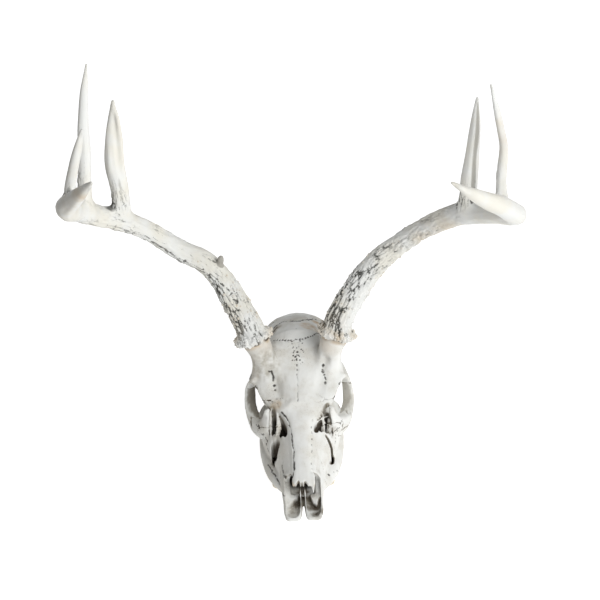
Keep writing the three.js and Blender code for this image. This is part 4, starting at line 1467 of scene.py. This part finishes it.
class DEERSKULL_OT_frontals(PieceOperator, bpy.types.Operator):
    """Make the two frontals with their pedicles"""
    bl_idname = "deerskull.frontals"
    bl_label = "Frontals"

    def execute(self, context):
        return make_bone_pair("frontal", "frontal", "stained_bone")


class DEERSKULL_OT_cranium(PieceOperator, bpy.types.Operator):
    """Make the braincase, the occiput and the core between the eyes"""
    bl_idname = "deerskull.cranium"
    bl_label = "Cranium"

    def execute(self, context):
        for bone in ("braincase", "occiput", "sphenoid"):
            make_bone(f"{bone}_bone", bone, 0, "bone", bone)
        return {"FINISHED"}


class DEERSKULL_OT_inner_nose(PieceOperator, bpy.types.Operator):
    """Make the vomer and the scrolls inside the nose"""
    bl_idname = "deerskull.inner_nose"
    bl_label = "Inner nose"

    def execute(self, context):
        plate = Area(VOMER_OUTLINE)

        def vomer_field(points):
            return np.maximum(plate.distance(*points), np.abs(points[0]) - VOMER_HALF)

        vertices, quads, _ = sculpt(vomer_field, (-4, 40, 20), (4, 104, 50), 0.6, rounds=1)
        finish_bone("vomer_bone", "vomer", vertices, quads, "bone", "vomer")
        for word, side in SIDES.items():
            scroll = Tube([(side * x, *rest) for x, *rest in TURBINATE])
            vertices, quads, normal = sculpt(
                scroll.distance, scroll.box[0] - 2, scroll.box[1] + 2, 0.7, rounds=0)
            vertices = vertices + normal * (0.5 * noise(vertices.T, (2, 9, 2), 31))[:, None]
            finish_bone(f"{word}_turbinate", "turbinate", vertices, quads, "bone", f"turbinate_{word}")
        return {"FINISHED"}


# ------------------------------------------------------------------ antlers
class Antler:
    """A beam with its tines and burr, and where on its bark a place is."""

    def __init__(self, burr, beam, tines, ribs, furrows, tints):
        self.tints = tints
        self.ring = Ring(*burr)
        self.beam = Tube(beam, samples=6)
        self.tines = [Tube(tine, samples=6) for tine in tines]
        self.furrows = [Tube(furrow) for furrow in furrows]
        self.steps = [
            join(self.beam),
            *[join(tine, np.clip(3 * (tine.radii[0, 0] - 4), 3, 9)) for tine in self.tines],
            *[join(Tube(rib), 4) for rib in ribs],
            *[cut(furrow, 1.5) for furrow in self.furrows],
            join(self.ring, 2.5), cut(BelowRing(self.ring, 4.4), 0.6),
        ]

    def field(self, points):
        return evaluate(self.steps, points)

    def box(self):
        lows, highs = zip(*[shape.box for shape in (self.beam, *self.tines, self.ring)])
        return np.min(lows, axis=0) - 4, np.max(highs, axis=0) + 4

    def bark_place(self, vertices):
        """Places on the bark, unrolled round its axis (n, 3), and how far up its own tube."""
        best = np.full(len(vertices), 1e9)
        unrolled = np.zeros((len(vertices), 3))
        share = np.zeros(len(vertices))
        number = np.zeros(len(vertices), int)
        for k, tube in enumerate([self.beam] + self.tines):
            steps = np.linalg.norm(np.diff(tube.centres, axis=0), axis=1)
            lengths = np.concatenate([[0], np.cumsum(steps)])
            for i, (start, end) in enumerate(zip(tube.centres, tube.centres[1:])):
                way = end - start
                off = vertices - start
                t = np.clip(off @ way / (way @ way), 0, 1)
                off = off - t[:, None] * way
                away = np.linalg.norm(off, axis=1)
                radius = tube.radii[i, 0] + t * (tube.radii[i + 1, 0] - tube.radii[i, 0])
                nearer = away - radius < best
                best = np.where(nearer, away - radius, best)
                along = lengths[i] + t * steps[i]
                scale = radius / np.maximum(away, 1e-6)
                place = np.stack([off @ tube.side[i] * scale, off @ tube.over[i] * scale,
                                  along + 300 * k], 1)
                unrolled = np.where(nearer[:, None], place, unrolled)
                share = np.where(nearer, along / lengths[-1], share)
                number = np.where(nearer, k, number)
        return unrolled, share, number


def sculpt_antler(antler, cell, bark, side):
    """The antler's mesh and marks. side is 0 for the left one and 100 for the right, in seeds too."""
    vertices, quads, normal = sculpt(antler.field, *antler.box(), cell)
    unrolled, share, number = antler.bark_place(vertices)
    b = unrolled.T
    reach = 0.8 if side else 0.62
    rough = np.where(number == 0, smoothstep(reach, 0.25, share), smoothstep(0.55, 0.0, share) * 0.8)
    wander = noise(b, (3.4, 3.4, 26), 41 + side)
    strayed = b + 0.8 * np.stack([noise(b, 4, 51), noise(b, 4, 52), 2 * noise(b, 5, 53)])
    first, second = cells(strayed, (3.3, 3.3, 11), 55 + side)
    crease = smoothstep(0.3, 0.0, second - first)
    patchy = smoothstep(-0.35, 0.4, noise(b, (6, 6, 16), 57 + side))
    groove = np.maximum(crease * patchy, 0.9 * smoothstep(0.12, 0.0, np.abs(wander)))
    fine = noise(b, (1.5, 1.5, 4), 43 + side)
    height, across = antler.ring.coordinates(vertices.T)
    crown = smoothstep(7.5, 4.0, np.abs(height)) * smoothstep(32, 26, across)
    scales = (0.55 - first) * 1.3 - 0.8 * groove
    lift = bark * (rough * (scales * (0.4 + 0.6 * patchy) + 0.3 * fine) + 0.25 * wander)
    lift += crown * (2.2 * np.maximum(noise(vertices.T, 3.0, 47 + side), -0.25) + 0.2)
    lift += 0.5 * noise(b, (9, 9, 24), 49 + side)
    vertices = vertices + normal * lift[:, None]
    normal = vertex_normals(vertices, quads)

    # Stains round the burr and in the tinted places.
    stain = crown * 0.35 + smoothstep(-3.0, -5.5, height)
    stain += 0.2 * smoothstep(26, 6, height) * smoothstep(-8, 0, height)
    stain = stain * (0.6 + 0.8 * noise(vertices.T, 9, 59 + side))
    for *place, reach, strength in antler.tints:
        away = np.linalg.norm(vertices - place, axis=1)
        stain = np.maximum(stain, strength * smoothstep(reach, reach * 0.3, away))
    stain = np.clip(stain, 0, 1)
    pearling = smoothstep(0.34, 0.0, np.where(number == 0, share, 1)) * 0.25
    pearling = np.maximum(pearling, crown) * (height > -3.5)

    # Painted shade on the faces turned from the light and in the furrows; grey dirt on the tips and the brow
    # nub.
    lower = smoothstep(0.05, 0.8, -(normal @ (0.85, -0.1, 0.5))) * (1.0 if side else 0.2)
    tip = smoothstep(0.9, 1.0, share) * (0.4 + 0.4 * noise(b, (2, 2, 9), 61 + side))
    dirt_and_shade = np.clip(np.maximum(lower, tip), 0, 1)
    nubs = [k + 1 for k, tine in enumerate(antler.tines) if tine.radii[0, 0] < 6]
    dirt_and_shade = np.where(np.isin(number, nubs) & (share > 0.3), 0.95, dirt_and_shade)
    for furrow in antler.furrows:
        away = furrow.distance(vertices.T.astype(np.float32))
        dirt_and_shade = np.maximum(dirt_and_shade, 0.9 * smoothstep(1.3, 0.2, away))

    # Painted shade: the grooves are drawn darkest on the faces that turn away from the light, and at the
    # left antler's base.
    turned_from_light = smoothstep(0.85, 0.0, normal @ (0.8, -0.3, 0.5))
    base = smoothstep(0.3, 0.12, share) * smoothstep(0.3, -0.4, normal @ (0.9, 0, -0.4))
    groove = groove * (0.35 + 0.65 * turned_from_light if side else 0.18 + 0.12 * turned_from_light + 0.7 * base)
    marks = [("bark", unrolled), ("rough", rough), ("groove", groove), ("stain", stain),
             ("pearling", pearling), ("dirt_and_shade", dirt_and_shade),
             ("openness", openness(vertices, normal, antler.field))]
    return vertices, quads, marks


PEARL_MARKS = {"rough": 0.6, "openness": 0.8, "stain": 0.35, "groove": 0.0, "dirt_and_shade": 0.0}


@functools.cache
def pearl_tree():
    """Beads scattered over a skin where its pearling is high."""
    tree = bpy.data.node_groups.new("antler_pearls", "GeometryNodeTree")
    for name, way, kind in (
        ("Skin", "INPUT", "Geometry"), ("Bead radius", "INPUT", "Float"),
        ("Spacing", "INPUT", "Float"), ("Seed", "INPUT", "Int"),
        ("Material", "INPUT", "Material"), ("Beads", "OUTPUT", "Geometry"),
    ):
        tree.interface.new_socket(name, in_out=way, socket_type="NodeSocket" + kind)
    add = functools.partial(add_node, tree)
    given = add("NodeGroupInput").outputs
    pearling = add("GeometryNodeInputNamedAttribute", {"data_type": "FLOAT"}, {"Name": "pearling"})
    points = add("GeometryNodeDistributePointsOnFaces", {"distribute_method": "POISSON"}, {
        "Mesh": given["Skin"], "Distance Min": given["Spacing"], "Density Max": 200000.0,
        "Density Factor": pearling.outputs[0], "Seed": given["Seed"]})
    bead = add("GeometryNodeMeshUVSphere", None,
               {"Segments": 7, "Rings": 4, "Radius": given["Bead radius"]})
    size = add("FunctionNodeRandomValue", {"data_type": "FLOAT"}, {
        2: 0.45, 3: 1.0, "Seed": given["Seed"]})
    low = add("ShaderNodeMath", {"operation": "MULTIPLY"}, {0: size.outputs[1], 1: 0.75})
    flat = add("ShaderNodeCombineXYZ", None, {
        0: size.outputs[1], 1: size.outputs[1], 2: low.outputs[0]})
    placed = add("GeometryNodeInstanceOnPoints", None, {
        "Points": points.outputs["Points"], "Instance": bead.outputs["Mesh"],
        "Rotation": points.outputs["Rotation"], "Scale": flat.outputs[0]})
    real = add("GeometryNodeRealizeInstances", None, {"Geometry": placed.outputs[0]})
    smooth = add("GeometryNodeSetShadeSmooth", None, {"Geometry": real.outputs[0]})
    painted = add("GeometryNodeSetMaterial", None, {
        "Geometry": smooth.outputs[0], "Material": given["Material"]})
    add("NodeGroupOutput", None, {0: painted.outputs[0]})
    return tree


def scatter_pearls(name, skin, seed):
    size = bpy.context.scene.deer_antler
    holder = add_object(name + "_skin", skin.data)
    modifier = holder.modifiers.new("pearls", "NODES")
    tree = pearl_tree()
    modifier.node_group = tree
    sockets = {item.name: item.identifier for item in tree.interface.items_tree}
    for label, value in (("Bead radius", size.pearl), ("Spacing", size.pearl * 1.5), ("Seed", seed),
                         ("Material", antler_material())):
        modifier[sockets[label]] = value
    graph = bpy.context.evaluated_depsgraph_get()
    mesh = bpy.data.meshes.new_from_object(holder.evaluated_get(graph))
    bpy.data.objects.remove(holder)
    if not mesh.vertices:
        raise RuntimeError("no pearls were made for " + name)
    mesh.name = name
    count = len(mesh.vertices)
    for label, value in PEARL_MARKS.items():
        if label not in mesh.attributes:
            mesh.attributes.new(label, "FLOAT", "POINT")
        mesh.attributes[label].data.foreach_set("value", np.full(count, value, np.float32))
    settle(add_object(name, mesh), "antler")


class DEERSKULL_OT_antlers(PieceOperator, bpy.types.Operator):
    """Make the two antlers with their burrs, tines and pearls"""
    bl_idname = "deerskull.antlers"
    bl_label = "Antlers"

    def execute(self, context):
        size = context.scene.deer_antler
        shapes = (
            ("left", 0, Antler(LEFT_BURR, LEFT_BEAM, LEFT_TINES, [], LEFT_FURROWS, LEFT_TINTS)),
            ("right", 100, Antler(RIGHT_BURR, RIGHT_BEAM, RIGHT_TINES, RIGHT_RIBS, RIGHT_FURROWS,
                                  RIGHT_TINTS)),
        )
        for word, seed, antler in shapes:
            nodes = [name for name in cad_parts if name.startswith(f"antler_{word}_")]
            vertices, quads, marks = sculpt_antler(antler, cell_size(size), size.bark / MM, seed)
            piece = make_piece(f"{word}_antler", vertices, quads, antler_material(), marks)
            scatter_pearls(f"{word}_pearls", piece, 5 + seed)
            settle(piece, "antler", *nodes)
        return {"FINISHED"}


# ------------------------------------------------------------------ stage
VIEW_DOWN = math.radians(42.0)
VIEW_ROUND = math.radians(1.6)
VIEW_ROLL = math.radians(4.3)
VIEW_AWAY = 1.9
VIEW_LENS = 107.5
VIEW_CENTRE = (0.0, 170.0, 100.0)
VIEW_SHIFT = (8.0, 57.5)
FLOOR_REACH = 6.0
FLOOR_GAP = 0.0005
# Lamps: name, share of the key light's power, colour, size and place.
LAMPS = (
    ("key_lamp", 1.0, (0.97, 0.985, 1.0), 1.4, (0.95, -1.5, 2.75)),
    ("side_lamp", 0.78, (1.0, 0.99, 0.96), 2.0, (1.9, -1.5, 1.95)),
)
LAMP_TARGET = (0, 0, 0.15)


def camera_axes():
    """The camera's right, up and back, and its level and upright before it rolls."""
    back = Vector((math.sin(VIEW_ROUND) * math.cos(VIEW_DOWN),
                   -math.cos(VIEW_ROUND) * math.cos(VIEW_DOWN), math.sin(VIEW_DOWN)))
    level = Vector((math.cos(VIEW_ROUND), math.sin(VIEW_ROUND), 0))
    upright = back.cross(level)
    right = level * math.cos(VIEW_ROLL) - upright * math.sin(VIEW_ROLL)
    up = upright * math.cos(VIEW_ROLL) + level * math.sin(VIEW_ROLL)
    return right, up, back, level, upright


def aim(thing, target):
    """Turns a lamp at its place towards a target."""
    thing.rotation_euler = (Vector(target) - thing.location).to_track_quat("-Z", "Y").to_euler()


class DEERSKULL_OT_stage(PieceOperator, bpy.types.Operator):
    """Make the floor, the lamps and the camera"""
    bl_idname = "deerskull.stage"
    bl_label = "Stage"

    def execute(self, context):
        scene = context.scene
        size = scene.deer_stage
        right, up, back, level, upright = camera_axes()
        target = Vector(VIEW_CENTRE) + level * VIEW_SHIFT[0] + upright * VIEW_SHIFT[1]
        target = target * MM + Vector(ORIGIN)

        camera = add_object("camera", bpy.data.cameras.new("camera"))
        camera.data.lens = VIEW_LENS
        camera.data.clip_end = 50
        turned = Matrix((right, up, back)).transposed().to_4x4()
        camera.matrix_world = Matrix.Translation(target + back * VIEW_AWAY) @ turned
        scene.camera = camera

        floor = bpy.data.meshes.new("floor")
        reach = FLOOR_REACH
        floor.from_pydata([(-reach, -reach, 0), (reach, -reach, 0), (reach, reach, 0),
                           (-reach, reach, 0)], [], [(0, 1, 2, 3)])
        floor.materials.append(Shader("pale_floor").finish(
            Base_Color=rgba(size.floor), Emission_Color=rgba((1, 1, 1)),
            Emission_Strength=size.glow, Roughness=0.9, Specular_IOR_Level=0.1))
        ground = add_object("floor", floor)
        ground.location = (0, 0, -FLOOR_GAP)

        for name, share, colour, wide, place in LAMPS:
            lamp = bpy.data.lights.new(name, "AREA")
            lamp.color, lamp.energy, lamp.size = colour, size.key * share, wide
            holder = add_object(name, lamp)
            holder.location = place
            aim(holder, LAMP_TARGET)

        world = bpy.data.worlds.new("studio")
        world.use_nodes = True
        sky = world.node_tree.nodes["Background"]
        set_sockets(world.node_tree, sky, {"Color": rgba((1, 1, 1)), "Strength": size.sky})
        scene.world = world
        scene.view_settings.view_transform = "Standard"
        scene.view_settings.look = "None"
        scene.view_settings.exposure = 0
        return {"FINISHED"}


PIECE_OPERATORS = (
    DEERSKULL_OT_stage, DEERSKULL_OT_nasals, DEERSKULL_OT_premaxillae, DEERSKULL_OT_maxillae,
    DEERSKULL_OT_lacrimals, DEERSKULL_OT_zygomatics, DEERSKULL_OT_frontals, DEERSKULL_OT_cranium,
    DEERSKULL_OT_inner_nose, DEERSKULL_OT_antlers,
)


class DEERSKULL_PT_panel(bpy.types.Panel):
    bl_idname = "DEERSKULL_PT_panel"
    bl_label = "Deer skull"
    bl_space_type = "VIEW_3D"
    bl_region_type = "UI"
    bl_category = "Deer skull"

    def draw(self, context):
        scene = context.scene
        for group_name, kind in GROUPS.items():
            box = self.layout.box()
            for name in kind.__annotations__:
                box.prop(getattr(scene, group_name), name)
        for operator in PIECE_OPERATORS:
            self.layout.operator(operator.bl_idname)


GROUPS = {"deer_bone": DEERSKULL_PG_bone, "deer_antler": DEERSKULL_PG_antler,
          "deer_stage": DEERSKULL_PG_stage}
CLASSES = (*GROUPS.values(), *PIECE_OPERATORS, DEERSKULL_PT_panel)


def register():
    for kind in CLASSES:
        bpy.utils.register_class(kind)
    for name, kind in GROUPS.items():
        setattr(bpy.types.Scene, name, bpy.props.PointerProperty(type=kind))


def unregister():
    for name in GROUPS:
        delattr(bpy.types.Scene, name)
    for kind in reversed(CLASSES):
        bpy.utils.unregister_class(kind)


def main():
    register()
    for operator in PIECE_OPERATORS:
        group, name = operator.bl_idname.split(".")
        getattr(getattr(bpy.ops, group), name)()


if __name__ == "__main__":
    main()
